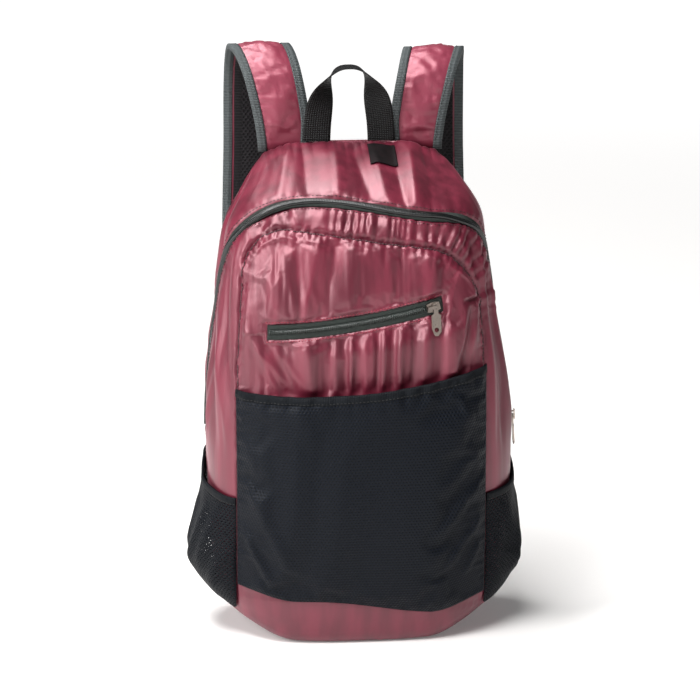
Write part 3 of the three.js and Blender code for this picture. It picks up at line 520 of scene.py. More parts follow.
def facets(across, height, pitch, tall, rise, seed):
    # flat-sided folds, long and upright, as satin nylon hangs: each side catches the light evenly
    wander = 1.1 * noiseAt(across / (1.8 * pitch), height / tall, seed)
    wave = np.sin(2 * math.pi * (across / pitch + wander))
    return rise * np.arcsin(0.96 * wave) / (math.pi / 2)


def pleats(along, pitch, seed):
    # sewn gathers: rounded crests with tight valleys, 0 to 1, of uneven width
    place = along / pitch + 0.8 * noiseAt(along / (2.3 * pitch), 0.5, seed)
    return np.abs(np.sin(math.pi * place)) ** 0.8


def ridges(rows, x, z):
    # long single folds, each from one end to the other, fading at both
    rise = np.zeros(np.shape(x))
    for fromX, fromZ, toX, toZ, width, height in rows:
        length = math.hypot(toX - fromX, toZ - fromZ)
        ux, uz = (toX - fromX) / length, (toZ - fromZ) / length
        t = ((x - fromX) * ux + (z - fromZ) * uz) / length
        off = ((x - fromX) * uz - (z - fromZ) * ux) / width
        rise = rise + height * np.exp(-off * off) * smooth(t * 3.5) * smooth((1 - t) * 3.5)
    return rise


def creased(lines, x, z, top, bottom):
    # flat facets between fold lines, each from x at the top to x at the bottom, with its height in mm
    down = np.clip((top - z) / (top - bottom), -0.3, 1.3)
    rise = np.zeros(np.shape(x))
    for shift in (-1.4, 0, 1.4):  # a little rounding at each line
        for (fromTop, fromFoot, low), (toTop, toFoot, high) in zip(lines, lines[1:]):
            start, end = fromTop + (fromFoot - fromTop) * down, toTop + (toFoot - toTop) * down
            share = (x + shift - start) / np.maximum(end - start, 0.5)
            rise = rise + np.where((share >= 0) & (share < 1), low + (high - low) * share, 0) / 3
    return rise


def pucker(far, along, seed, pitch, reach, rise):
    # short creases that a seam pulls across itself
    return rise * (pleats(along, pitch, seed) - 0.55) * np.exp(-((far / reach) ** 1.3))


def settle(points, outward, sewn, cloth):
    # Cloth cut larger than the gap it is sewn into: Blender's cloth solver lets it crumple, and how far it
    # moved outward comes back as a grid.
    rows, cols = points.shape[:2]
    mesh = bpy.data.meshes.new("settling")
    mesh.from_pydata((points.reshape(-1, 3) * mm).tolist(), [], gridFaces(rows, cols))
    sheet = bpy.data.objects.new("settling", mesh)
    bpy.context.scene.collection.objects.link(sheet)
    sheet.vertex_groups.new(name="sewn").add(np.flatnonzero(sewn).tolist(), 1.0, "REPLACE")
    solver = sheet.modifiers.new("cloth", "CLOTH")
    solver.settings.vertex_group_mass = "sewn"
    settings = {
        "quality": 5, "mass": 0.1, "tension_stiffness": 25, "compression_stiffness": 25,
        "shear_stiffness": 10, "bending_stiffness": cloth["stiffness"], "shrink_min": -cloth["slack"],
        "use_pressure": True, "uniform_pressure_force": cloth["push"],
    }
    for name, value in settings.items():
        setattr(solver.settings, name, value)
    solver.settings.effector_weights.gravity = 0
    solver.point_cache.frame_start, solver.point_cache.frame_end = 1, cloth["frames"]
    for step in range(1, cloth["frames"] + 1):
        bpy.context.scene.frame_set(step)
    settled = sheet.evaluated_get(bpy.context.evaluated_depsgraph_get()).to_mesh()
    moved = np.zeros(rows * cols * 3)
    settled.vertices.foreach_get("co", moved)
    bpy.data.objects.remove(sheet)
    bpy.context.scene.frame_set(1)
    rise = ((moved.reshape(rows, cols, 3) / mm - points) * outward).sum(-1)
    print("  settled, moved", round(float(rise.min()), 1), "to", round(float(rise.max()), 1), "mm")
    return np.clip(np.nan_to_num(rise), -cloth["mostIn"], cloth["mostOut"])


def sampled(grid, s, t):
    # a value of a grid at shares of its columns and rows
    rows, cols = grid.shape
    x, y = np.clip(s, 0, 1) * (cols - 1), np.clip(t, 0, 1) * (rows - 1)
    i, j = np.minimum(x.astype(int), cols - 2), np.minimum(y.astype(int), rows - 2)
    u, v = x - i, y - j
    low = grid[j, i] * (1 - u) + grid[j, i + 1] * u
    high = grid[j + 1, i] * (1 - u) + grid[j + 1, i + 1] * u
    return low * (1 - v) + high * v


def outwardAt(place):
    return skin(*place, 1.0) - skin(*place)


print("surface and folds ready")

# Finishes


def startFinish(name, look):
    finish = bpy.data.materials.new(name)
    finish.use_nodes = True
    tree = finish.node_tree
    surface = tree.nodes["Principled BSDF"]
    surface.inputs["Base Color"].default_value = hexToLinear(look["colours"][0])
    for socket in ("Roughness", "Metallic", "IOR", "Sheen Weight", "Sheen Roughness", "Specular IOR Level"):
        if socket in look:
            surface.inputs[socket].default_value = look[socket]
    for socket in ("Specular Tint", "Sheen Tint"):
        if socket in look:
            surface.inputs[socket].default_value = hexToLinear(look[socket])
    return finish, tree, surface


def mixColours(tree, surface, share, look):
    # from the first colour to the second
    colours = {6: hexToLinear(look["colours"][0]), 7: hexToLinear(look["colours"][1])}
    mix = addNode(tree, "ShaderNodeMix", {"data_type": "RGBA", **colours}, {0: share})
    tree.links.new(mix.outputs[2], surface.inputs["Base Color"])


def raiseBy(tree, surface, height, depth, under=None):
    # depth in mm; bumps stack, the coarse one under the fine one
    bump = addNode(tree, "ShaderNodeBump", {"Strength": 1.0, "Distance": depth * mm}, {"Height": height})
    if under is not None:
        tree.links.new(under, bump.inputs["Normal"])
    tree.links.new(bump.outputs["Normal"], surface.inputs["Normal"])
    return bump.outputs["Normal"]


def noiseBy(tree, size, detail=2.0):
    # size in mm across, across and up
    place = addNode(tree, "ShaderNodeTexCoord").outputs["Object"]
    scale = tuple(1 / (v * mm) for v in size)
    spread = addNode(tree, "ShaderNodeMapping", {"Scale": scale}, {"Vector": place}).outputs[0]
    noise = addNode(tree, "ShaderNodeTexNoise", {"Scale": 1.0, "Detail": detail}, {"Vector": spread})
    return noise.outputs["Fac"]


def roughenBy(tree, surface, share, look):
    # from the look's own roughness to a little more
    rough = look["Roughness"]
    gleam = addNode(tree, "ShaderNodeMapRange", {3: rough, 4: rough + look["rougher"]}, {0: share})
    tree.links.new(gleam.outputs[0], surface.inputs["Roughness"])


def calenderedTaffeta(name, look):
    # bright nylon woven plain and pressed between hot rollers: smooth, with a broad satin gleam on each fold
    finish, tree, surface = startFinish(name, look)
    # the colour runs between the look's two colours in streaks of its shineStreak size: painted lighter and
    # darker shine bands, and the roughness follows them
    shineStreaks = noiseBy(tree, look["shineStreak"], 3.0)
    share = addNode(tree, "ShaderNodeMapRange", {1: 0.38, 2: 0.62}, {0: shineStreaks}).outputs[0]
    mixColours(tree, surface, share, look)
    roughenBy(tree, surface, shineStreaks, look)
    crinkled = raiseBy(tree, surface, noiseBy(tree, look["crinkle"], 3.0), look["crinkleDepth"])
    # the weave is 0.15 mm; it is drawn coarser to show at all
    raiseBy(tree, surface, noiseBy(tree, (0.9, 0.9, 0.9), 1.0), 0.03, crinkled)
    return finish


def knittedMesh(name, look):
    # warp-knitted polyester: dull yarn round small holes in a triangular order; the real holes are 2 mm apart
    # and are drawn a little wider apart, so that they show
    finish, tree, surface = startFinish(name, look)
    uv = addNode(tree, "ShaderNodeUVMap", {"uv_map": "UVMap"}).outputs[0]
    cell = (look["pitch"] * mm, look["pitch"] * mm * math.sqrt(3), 1.0)
    gaps = []
    for shift in (0.0, 0.5):  # the holes are two straight grids, the second shifted by half a cell
        flow = uv
        steps = (("DIVIDE", cell), ("ADD", (shift, shift, 0)), ("FRACTION", None),
                 ("SUBTRACT", (0.5, 0.5, 0)), ("MULTIPLY", (*cell[:2], 0)))
        for operation, by in steps:
            settings = {"operation": operation} if by is None else {"operation": operation, 1: by}
            flow = addNode(tree, "ShaderNodeVectorMath", settings, {0: flow}).outputs[0]
        far = addNode(tree, "ShaderNodeVectorMath", {"operation": "LENGTH"}, {0: flow})
        gaps.append(far.outputs["Value"])
    nearest = addNode(tree, "ShaderNodeMath", {"operation": "MINIMUM"}, {0: gaps[0], 1: gaps[1]}).outputs[0]
    hole = look["hole"] * mm
    yarn = addNode(tree, "ShaderNodeMapRange", {1: hole * 0.6, 2: hole * 1.4}, {0: nearest}).outputs[0]
    mixColours(tree, surface, yarn, look)
    raiseBy(tree, surface, yarn, look["depth"])
    return finish


def wovenTape(name, look):
    # thick yarn woven across the tape, so that ribs run from edge to edge
    finish, tree, surface = startFinish(name, look)
    uv = addNode(tree, "ShaderNodeUVMap", {"uv_map": "UVMap"}).outputs[0]
    parts = addNode(tree, "ShaderNodeSeparateXYZ", links={0: uv}).outputs
    waves = []
    for k, pitch in ((1, look["rib"]), (0, look["yarn"])):
        turned = {"operation": "MULTIPLY", 1: 2 * math.pi / (pitch * mm)}
        angle = addNode(tree, "ShaderNodeMath", turned, {0: parts[k]}).outputs[0]
        waves.append(addNode(tree, "ShaderNodeMath", {"operation": "SINE"}, {0: angle}).outputs[0])
    share = addNode(tree, "ShaderNodeMapRange", {1: -1.0, 2: 1.0}, {0: waves[0]}).outputs[0]
    mixColours(tree, surface, share, look)
    ribs = raiseBy(tree, surface, waves[0], look["depth"])
    raiseBy(tree, surface, waves[1], look["depth"] * 0.4, ribs)
    return finish


def mouldedPlastic(name, look):
    # injection-moulded: even, with a faint orange peel in its gloss
    finish, tree, surface = startFinish(name, look)
    mottle = noiseBy(tree, (look["peel"],) * 3)
    mixColours(tree, surface, mottle, look)
    raiseBy(tree, surface, mottle, look["depth"])
    return finish


def platedZinc(name, look):
    # die-cast zinc under bright nickel: a warm mirror, with rub marks in its gloss
    finish, tree, surface = startFinish(name, look)
    rubs = noiseBy(tree, look["rub"], 4.0)
    mixColours(tree, surface, rubs, look)
    roughenBy(tree, surface, rubs, look)
    return finish


maroonTaffeta = calenderedTaffeta("calendered_nylon_taffeta", {
    "colours": ["#4b0d1e", "#62182b"], "Roughness": 0.36, "IOR": 1.53, "Specular IOR Level": 1.0,
    "Specular Tint": "#ffccd3", "Sheen Weight": 0.08, "Sheen Roughness": 0.35, "Sheen Tint": "#f4b4be",
    "rougher": 0.1, "shineStreak": (14, 14, 160), "crinkle": (2.0, 2.0, 26), "crinkleDepth": 0.09,
})
strapTaffeta = calenderedTaffeta("strap_nylon_taffeta", {
    "colours": ["#631c2d", "#74293b"], "Roughness": 0.38, "IOR": 1.53, "Specular IOR Level": 1.0,
    "Specular Tint": "#ffc8d0", "Sheen Weight": 0.15, "Sheen Roughness": 0.35, "Sheen Tint": "#f4b4be",
    "rougher": 0.1, "shineStreak": (30, 60, 60), "crinkle": (4, 6, 5), "crinkleDepth": 0.15,
})
pocketMesh = knittedMesh("warp_knitted_mesh", {
    "colours": ["#010204", "#080d16"], "Roughness": 0.5, "IOR": 1.54, "Specular IOR Level": 0.12,
    "pitch": 3.0, "hole": 0.78, "depth": 0.35,
})
netYarn = wovenTape("net_yarn", {
    "colours": ["#030509", "#080d15"], "Roughness": 0.6, "IOR": 1.54, "Specular IOR Level": 0.12,
    "rib": 0.9, "yarn": 0.9, "depth": 0.05,
})
haulWebbing = wovenTape("polypropylene_webbing", {
    "colours": ["#060606", "#121313"], "Roughness": 0.55, "IOR": 1.49, "Specular IOR Level": 0.25,
    "rib": 1.7, "yarn": 2.1, "depth": 0.35,
})
edgeBinding = wovenTape("grosgrain_binding", {
    "colours": ["#2a2e2f", "#505657"], "Roughness": 0.6, "IOR": 1.54, "Specular IOR Level": 0.3,
    "rib": 1.5, "yarn": 4.0, "depth": 0.28,
})
pocketBinding = wovenTape("pocket_binding_tape", {
    "colours": ["#040609", "#0b0f15"], "Roughness": 0.6, "IOR": 1.54, "Specular IOR Level": 0.12,
    "rib": 1.2, "yarn": 2.0, "depth": 0.12,
})
zipTape = wovenTape("zip_tape_twill", {
    "colours": ["#111714", "#28302c"], "Roughness": 0.5, "IOR": 1.54, "Specular IOR Level": 0.3,
    "rib": 1.1, "yarn": 1.4, "depth": 0.15,
})
coverTape = wovenTape("glossy_zip_cover", {
    "colours": ["#080a0a", "#0f1212"], "Roughness": 0.24, "IOR": 1.5, "rib": 1.4, "yarn": 3.0, "depth": 0.06,
})
liningMesh = knittedMesh("spacer_mesh_lining", {
    "colours": ["#070607", "#191619"], "Roughness": 0.8, "IOR": 1.54, "Specular IOR Level": 0.2,
    "pitch": 3.2, "hole": 1.0, "depth": 0.5,
})
zipCoil = mouldedPlastic("nylon_zip_coil", {
    "colours": ["#1a201d", "#2c3430"], "Roughness": 0.26, "IOR": 1.53, "peel": 2.0, "depth": 0.02,
})
buckleAcetal = mouldedPlastic("moulded_acetal", {
    "colours": ["#080809", "#0f0f10"], "Roughness": 0.36, "IOR": 1.48, "peel": 1.2, "depth": 0.03,
})
nickelPlate = platedZinc("nickel_plated_zinc", {
    "colours": ["#8d8078", "#b3a79d"], "Roughness": 0.22, "rougher": 0.16, "Metallic": 1.0,
    "rub": (0.6, 0.6, 3.0),
})
# maroon thread, made near-black as painted shade: along the panel seam its stitches read as the tucked seam's
# shadow, beside the main zip as the shadows of its puckers
seamShadeThread = mouldedPlastic("maroon_thread_and_painted_seam_shade", {
    "colours": ["#2a0a12", "#3a111b"], "Roughness": 0.6, "IOR": 1.54, "peel": 0.8, "depth": 0.05,
})
redThread = mouldedPlastic("red_sewing_thread", {
    "colours": ["#861f33", "#9c2f44"], "Roughness": 0.6, "IOR": 1.54, "peel": 0.8, "depth": 0.05,
})
blackThread = mouldedPlastic("black_sewing_thread", {
    "colours": ["#08090a", "#141617"], "Roughness": 0.6, "IOR": 1.54, "peel": 0.8, "depth": 0.05,
})
# near-black cloth for the patch by the haul loop's right foot: partly the loop's dark foot, partly painted
# shadow of the loop
loopShadowPatch = calenderedTaffeta("dark_patch_painted_shadow", {
    "colours": ["#090506", "#120a0c"], "Roughness": 0.7, "IOR": 1.53, "Specular IOR Level": 0.15,
    "rougher": 0.1, "shineStreak": (8, 8, 20), "crinkle": (3, 3, 8), "crinkleDepth": 0.3,
})
print("finishes ready")

# Stitches

hexagon = [(math.cos(a), math.sin(a)) for a in np.radians(range(0, 360, 60))]
spindle = [(0.5, 0.0, 0.0), (-0.5, 0.0, 0.0)] + [
    (end, 0.5 * c, 0.5 * s) for end in (0.32, -0.32) for c, s in hexagon
]
spindleFaces = (
    [(0, 2 + k, 2 + (k + 1) % 6) for k in range(6)]
    + [(1, 8 + (k + 1) % 6, 8 + k) for k in range(6)]
    + [(2 + k, 8 + k, 8 + (k + 1) % 6, 2 + (k + 1) % 6) for k in range(6)]
)


sewing = {  # how far apart a row's stitches lie, and how long and thick each one is
    "panelSeam": (2.9, 3.2, 1.3), "mainZip": (3.3, 2.4, 0.7), "pocketZip": (2.8, 2.0, 0.65),
    "hem": (3.3, 2.2, 0.55), "strap": (3.6, 2.3, 0.55),
}


def stitchRow(line, length, thick):
    # one straight stitch at each station of a line
    return repeated(np.array(spindle) * (length, thick, thick), spindleFaces, line)


# The sack

sack = {
    "frontColumns": 236, "backColumns": 76, "rowGap": 2.45,
    "facets": {"pitch": 44, "tall": 170, "rise": 3.0},
    "smallFacets": {"pitch": 17, "tall": 90, "rise": 0.6},
    "gathers": {"pitch": 7.5, "rise": 2.6},
    "zipPuckers": {"pitch": 9, "reach": 9, "rise": 1.5},
    "seamPuckers": {"pitch": 7, "reach": 6, "rise": 1.4},
    "topPuckers": {"pitch": 9, "reach": 6, "rise": 1.3},
    "grooveHalf": 4.6, "grooveDepth": 1.6, "lip": 0.7,
    "seamDepth": 3.2, "shoulderDrop": 11, "shoulderFrom": 46,
}
sewnFrom = 60  # below this height the panel's seam lies flat and shows no thread
topFacets = [  # x at the top seam, x at the zip and height: the cloth falls in broad satin wedges
    (-100, -150, 0.0), (-58, -72, 4.6), (-45, -46, -1.4), (-15, -19, 4.8), (-2, 12, -1.6), (18, 25, 3.2),
    (35, 40, -2.0), (53, 50, 4.2), (67, 65, -1.0), (88, 104, 3.4), (110, 160, 0.0),
]
bandFacets = [  # the deep gathers at the left of the band under the zip
    (-112, -116, 0.0), (-97, -98, 2.6), (-88, -86, -2.2), (-76, -77, 2.8), (-66, -63, -1.6), (-58, -56, 2.2),
    (-48, -46, -0.4), (-34, -34, 1.2), (-22, -25, 0.0),
]


def panelOutline(count=160):
    # up the panel's right side, over its top and down its left side
    rise = np.linspace(0, 1, count)
    sides = []
    for s in (1, -1):
        z = panelFootAt(s) + (panelTopAt(s) - panelFootAt(s)) * rise
        sides.append(np.stack([s * panelHalfAt(z), z], -1))
    s = np.linspace(1, -1, count)
    top = np.stack([s * panelHalfAt(panelTopAt(s)), panelTopAt(s)], -1)
    bottom = np.stack([-s * panel["width"] / 2, panelFootAt(-s)], -1)
    return np.concatenate([sides[0], top, sides[1][::-1], bottom])


def belowTopSeam(z):
    # the top's wedges flatten at the top seam
    return 0.35 + 0.65 * smooth((bag["height"] - z) / 8)


def sackLift(turn, level):
    p = plainPoint(turn, level)
    x, z = p[..., 0], p[..., 2]
    front = np.sin(turn) < 0
    around = (turn + math.pi / 2) * bag["width"] * 0.42
    zipLine = skin(*mainZipPlace(np.linspace(0, 1, 500)))
    farZip, alongZip = nearLine(p, zipLine)
    outline = panelOutline()
    farPanel, alongPanel = nearLine(p, skin(*onFront(outline[:, 0], outline[:, 1])))
    half = panelHalfAt(z)
    s = np.clip(x / half, -1, 1)
    inPanel = front & (np.abs(x) < half) & (z < panelTopAt(s)) & (z > panelFootAt(s))
    crest = zipLine[zipLine[:, 2] > 330]
    crest = crest[np.argsort(crest[:, 0])]
    belowZip = front & (z < np.interp(x, crest[:, 0], crest[:, 2]))

    calm = smooth((farZip - 5) / 16) * smooth((farPanel - 3) / 14) * smooth(z / 90)
    calm *= smooth((bag["height"] - z) / 14)
    calm *= 0.12 + 0.88 * smooth((z - 165) / 45)  # the side pockets hold the cloth flat
    onTop = ~belowZip * smooth((z - 345) / 45) * smooth(-np.sin(turn) * 5)
    crestZ = bag["height"] * bag["zipCrest"]
    lift = facets(around, z, seed=11, **sack["facets"]) * calm * (1 - onTop)
    lift += facets(around, z, seed=12, **sack["smallFacets"]) * calm * (1 - 0.75 * onTop)
    wedges = creased(topFacets, x, z, bag["height"], crestZ)
    lift += wedges * onTop * smooth((farZip - 4) / 8) * belowTopSeam(z)
    band = (belowZip & ~inPanel) * smooth((z - 285) / 45)
    gathers = sack["gathers"]
    window = smooth((farZip - 3) / 7) * smooth((farPanel - 1) / 5)
    fine = gathers["rise"] * (pleats(alongPanel, gathers["pitch"], 21) - 0.3) * smooth((x + 30) / 14)
    lift += band * (fine + creased(bandFacets, x, z, crestZ, 350)) * window
    lift += pucker(farZip, alongZip, 22, **sack["zipPuckers"]) * smooth((farZip - 3) / 3)
    sideCalm = 0.3 + 0.7 * smooth((z - 300) / 60)
    lift += pucker(farPanel, alongPanel, 23, **sack["seamPuckers"]) * (z > sewnFrom) * sideCalm
    lift += pucker(bag["height"] - z, x, 24, **sack["topPuckers"]) * front
    lift += sack["lip"] * np.exp(-(((farZip - 6.6) / 1.5) ** 2))
    lift -= (sack["grooveDepth"] + 0.5) * (1 - smooth((farZip - sack["grooveHalf"] + 0.6) / 1.2))
    jagged = 1.5 * noiseAt(alongPanel / 4.5, 0.5, 25)
    lift -= sack["seamDepth"] * (1 - smooth((farPanel - 1.6 + jagged) / 1.8)) * (z > sewnFrom)
    lift = np.where(inPanel, -1.2, lift)
    return np.clip(lift, -3.5, 5.5) * smooth(level * 2)


def shoulders(p):
    # the top's corners slump under the straps
    out = smooth((np.abs(p[..., 0]) - sack["shoulderFrom"]) / 44)
    near = smooth((p[..., 2] - 375) / (bag["height"] - 375))
    return p - np.array([0, 0, 1.0]) * (sack["shoulderDrop"] * out * near)[..., None]


def makeSack():
    turns = np.concatenate([
        np.linspace(-1.5, -1, sack["backColumns"] // 2, endpoint=False),
        np.linspace(-1, 0, sack["frontColumns"], endpoint=False),
        np.linspace(0, 0.5, sack["backColumns"] // 2, endpoint=False),
    ]) * math.pi
    profile = np.linspace(0, topLevel, 3000)
    run = runAlong(plainPoint(-math.pi / 2, profile))
    levels = np.interp(np.linspace(0, run[-1], round(run[-1] / sack["rowGap"])), run, profile)
    turn, level = np.meshgrid(turns, levels)
    grid = shoulders(skin(turn, level, sackLift(turn, level)))
    grid[0, :, 2] = 0
    ends = []
    for ring in (grid[0], grid[-1]):  # the base and the top seam close towards their middles
        middle = ring.mean(0)
        ends.append([middle + (ring - middle) * k for k in (0.8, 0.6, 0.4, 0.2, 0.05)])
    rings = np.concatenate([np.array(ends[0][::-1]), grid, np.array(ends[1])])
    n, k = rings.shape[:2]
    faces = gridFaces(n, k, closed=True) + [list(range(k)), list(range((n - 1) * k, n * k))]
    piece = newPiece("nylon_sack", rings.reshape(-1, 3), faces, maroonTaffeta)
    return seat(piece, "maroon_nylon", "body_shell")


sackPiece = makeSack()
sackTree = treeOf(sackPiece)
print("sack made")

# The front panel

panelCloth = {
    "columns": 190, "lowerRows": 26, "upperRows": 116, "shownFrom": 0.57, "wall": 0.7,
    "facets": {"pitch": 60, "tall": 150, "rise": 0.6},
    "crinkles": {"pitch": 8.5, "tall": 70, "rise": 0.16},
    "seamPuckers": {"pitch": 7.5, "reach": 8, "rise": 1.5},
    "zipPuckers": {"pitch": 10, "reach": 9, "rise": 0.7},
    "settling": {"slack": 0.02, "push": 0.5, "stiffness": 0.4, "frames": 16, "mostIn": 1.2, "mostOut": 1.2},
}
upperFacets = [  # x at the arch seam, x at the pocket zip and height
    (-108, -108, 0.0), (-68, -60, 3.8), (-56, -55, 0.6), (-37, -50, 3.6), (-21, -35, -1.0), (-10, -14, 3.0),
    (14, 8, 1.4), (40, 29, -1.0), (66, 60, 4.6), (74, 68, 1.2), (100, 83, 5.2), (110, 110, 0.0),
]
lowerFacets = [  # x at the pocket zip, x at the mesh pocket's mouth and height
    (-104, -104, 0.0), (-72, -66, -1.6), (-48, -46, 4.6), (-28, -30, -2.2), (-24, -25, 2.2),
    (-14, -15, -2.2), (-11, -12, 2.4), (-1, -2, -2.2), (2, 1, 2.6), (14, 13, -2.2), (17, 15, 2.8),
    (28, 27, -2.2), (33, 31, 3.8), (45, 43, -2.2), (54, 52, 4.4), (70, 69, -2.2), (74, 73, 2.4),
    (84, 80, 4.4), (92, 90, -2.2), (108, 108, 0.0),
]
panelFolds = [  # from x, z to x, z, width and rise
    (-104, 300, -62, 236, 4.0, 2.6), (-96, 286, -74, 236, 3.0, 2.0), (-84, 292, -50, 238, 4.5, 1.8),
    (-30, 292, -28, 240, 4.0, 1.0), (-12, 292, -12, 240, 3.2, 1.5), (-1, 294, -3, 240, 2.6, 1.2),
    (9, 294, 8, 242, 3.0, 1.7), (20, 296, 18, 242, 2.6, 1.3), (31, 296, 30, 244, 3.4, 1.6),
    (43, 298, 40, 246, 3.0, 1.2), (58, 302, 56, 250, 4.0, 1.2), (100, 356, 82, 262, 6.0, 3.4),
    (104, 330, 96, 262, 3.5, 3.0), (90, 352, 66, 262, 5.0, 1.8), (-60, 372, -78, 318, 7.0, 1.4),
]
panelRipples = None  # until the cloth has settled


def panelShares(x, z):
    across = np.clip(x / panelHalfAt(z), -1, 1)
    s = np.arcsin(across * math.sin(frontBend)) / (2 * frontBend) + 0.5
    return s, (z - panelFootAt(across)) / (panelTopAt(across) - panelFootAt(across))


def panelSpots(s, t):
    s, t = np.meshgrid(s, t)
    across = acrossFront(s)
    z = panelFootAt(across) + (panelTopAt(across) - panelFootAt(across)) * t
    return across * panelHalfAt(z), z


def panelLift(x, z):
    turn, level = onFront(x, z)
    p = skin(turn, level, panel["low"] + panel["wall"])
    outline = panelOutline()
    farEdge, alongEdge = nearLine(p, skin(*onFront(outline[:, 0], outline[:, 1]), panel["low"]))
    outside, alongZip = zipWindow(x, z)
    shown = smooth((z - mouthAt(x) + 6) / 10)
    calm = smooth((farEdge - 1) / 8) * smooth((outside - 0.5) / 5) * shown
    above = z > frontZip["height"] + x / frontZip["length"] * frontZip["rise"]
    lift = np.where(above, creased(upperFacets, x, z, panel["top"], frontZip["height"] + 8),
                    creased(lowerFacets, x, z, frontZip["height"] - 10, panel["mouth"])) * calm
    lift += facets(x, z, seed=31, **panelCloth["facets"]) * calm
    lift += facets(x, z, seed=32, **panelCloth["crinkles"]) * calm
    lift += ridges(panelFolds, x, z) * calm
    edgePull = shown * (0.3 + 0.7 * smooth((z - 300) / 60))
    lift += pucker(farEdge, alongEdge, 33, **panelCloth["seamPuckers"]) * edgePull
    lift += pucker(np.maximum(outside, 0), alongZip, 34, **panelCloth["zipPuckers"]) * shown
    swell = 3.4 * smooth((z - 240) / 50) * smooth((350 - z) / 60) * smooth(outside / 22)
    lift = np.clip(lift, -2.2, 5) + swell * smooth((farEdge - 1) / 8) * shown
    welt = 0.5 * np.exp(-(((outside - 1.0) / 0.9) ** 2))
    lift = np.where(outside > 0, lift + welt, -1.3)
    rolled = 2.4 * (1 - smooth((farEdge + 1.2 * noiseAt(alongEdge / 4.5, 0.5, 35)) / 3.0))
    if panelRipples is not None:
        lift = lift + sampled(panelRipples, *panelShares(x, z))
    return panel["low"] + panel["wall"] - rolled + lift


def makePanel():
    shown = panelCloth["shownFrom"]  # the rows lie closer together where the mesh pocket doesn't cover them
    rows = [np.linspace(0, shown, panelCloth["lowerRows"], endpoint=False),
            np.linspace(shown, 1, panelCloth["upperRows"])]
    x, z = panelSpots(np.linspace(0, 1, panelCloth["columns"]), np.concatenate(rows))
    lift = panelLift(x, z)
    turn, level = onFront(x, z)
    points, faces = wallBetween(skin(turn, level, lift), skin(turn, level, lift - panelCloth["wall"]))
    piece = newPiece("front_panel_cloth", points, faces, maroonTaffeta)
    return seat(piece, "maroon_nylon", "front_panel")


def settlePanel():
    x, z = panelSpots(np.linspace(0, 1, 90), np.linspace(0, 1, 130))
    place = onFront(x, z)
    outside = zipWindow(x, z)[0]
    edge = np.zeros(x.shape, bool)
    edge[[0, -1]] = edge[:, [0, -1]] = True
    sewn = edge | (outside < 1.5) | (z < mouthAt(x) - 12)
    return settle(skin(*place, panelLift(x, z)), outwardAt(place), sewn, panelCloth["settling"])


panelRipples = settlePanel()
panelPiece = makePanel()
panelTree = treeOf(panelPiece)
print("front panel made")

# The mesh pocket on the front

meshCloth = {
    "columns": 120, "rows": 100, "wall": 0.8, "height": 200,
    "facets": {"pitch": 80, "tall": 160, "rise": 1.2},
    "edgePuckers": {"pitch": 11, "reach": 12, "rise": 1.3},
    "mouthPuckers": {"pitch": 15, "reach": 14, "rise": 1.2},
    "settling": {"slack": 0.035, "push": 0.6, "stiffness": 0.6, "frames": 18, "mostIn": 3.0, "mostOut": 4.0},
}
meshRipples = None  # until the cloth has settled
meshFolds = [  # from x, z to x, z, width and rise
    (-104, 170, -62, 70, 6.0, 2.4), (-106, 120, -80, 52, 5.0, 2.6), (-104, 205, -80, 120, 7.0, 1.6),
    (104, 160, 60, 96, 6.5, 2.8), (106, 128, 72, 66, 5.5, 2.8), (104, 190, 66, 140, 8.0, 1.8),
    (106, 98, 86, 52, 4.5, 2.4), (80, 238, 96, 206, 4.0, 1.6), (-60, 232, -40, 190, 8.0, 0.9),
]


def frontMeshSpot(s, t):
    across = acrossFront(s)
    x = across * panel["width"] / 2
    foot = panelFootAt(across)
    return x, foot + (mouthAt(x) - foot) * t


def frontMeshPlace(s, t):
    return onFront(*frontMeshSpot(s, t))


def frontMeshSwell(s, t):
    across = np.maximum(0, 4 * s * (1 - s)) ** 0.75
    return frontPocket["bulge"] * across * np.sin(math.pi * np.minimum(0.5, t * 0.9))


def frontMeshLift(s, t):
    x, z = frontMeshSpot(s, t)
    tall = meshCloth["height"]
    edge = np.minimum(np.minimum(s, 1 - s) * panel["width"], t * tall)
    lift = facets(x, z, seed=41, **meshCloth["facets"]) * smooth(edge / 30)
    lift += ridges(meshFolds, x, z) * smooth(edge / 8)
    lift += pucker(edge, np.where(t * tall > edge + 1, z, x), 42, **meshCloth["edgePuckers"])
    lift += pucker((1 - t) * tall, x, 43, **meshCloth["mouthPuckers"])
    if meshRipples is not None:
        lift = lift + sampled(meshRipples, s, t)
    base = frontPocket["low"] + frontPocket["wall"] + frontMeshSwell(s, t)
    return base + np.maximum(lift, -0.9) * smooth(edge / 5)


def makeFrontMesh():
    s, t = np.meshgrid(np.linspace(0, 1, meshCloth["columns"]), np.linspace(0, 1, meshCloth["rows"]))
    place = frontMeshPlace(s, t)
    lift = frontMeshLift(s, t)
    points, faces = wallBetween(skin(*place, lift), skin(*place, lift - meshCloth["wall"]))
    around = np.stack([runAlong(row) for row in skin(*place)])
    uv = np.stack([around, frontMeshSpot(s, t)[1]], -1).reshape(-1, 2)
    piece = newPiece("front_pocket_mesh", points, faces, pocketMesh, np.concatenate([uv, uv]))
    return seat(piece, "pocket_mesh", "front_mesh_pocket")


def hemStrip(name, placeAt, liftAt, columns, width, length, puckerRise):
    # a folded tape over the mouth's edge: t runs from its lower edge to just past the mouth
    s, t = np.meshgrid(np.linspace(0, 1, columns), np.linspace(0, 1, 9))
    share = 1 - width / length * (1 - t)
    crown = 0.9 * (1 - (2 * t - 1) ** 4)
    along = s * columns * 1.6
    gathered = puckerRise * (pleats(along, 9, 51) - 0.5) * (1 - t) ** 0.5
    place, under = placeAt(s, share), liftAt(s, share)
    outer = skin(*place, under + 0.15 + crown + gathered * crown)
    inner = skin(*place, under + 0.1 - 1.4 * (t > 0.9))  # its last rows fold over the mouth
    points, faces = wallBetween(outer, inner)
    uv = np.stack([t * width, along], -1).reshape(-1, 2)
    return newPiece(name, points, faces, pocketBinding, np.concatenate([uv, uv]))


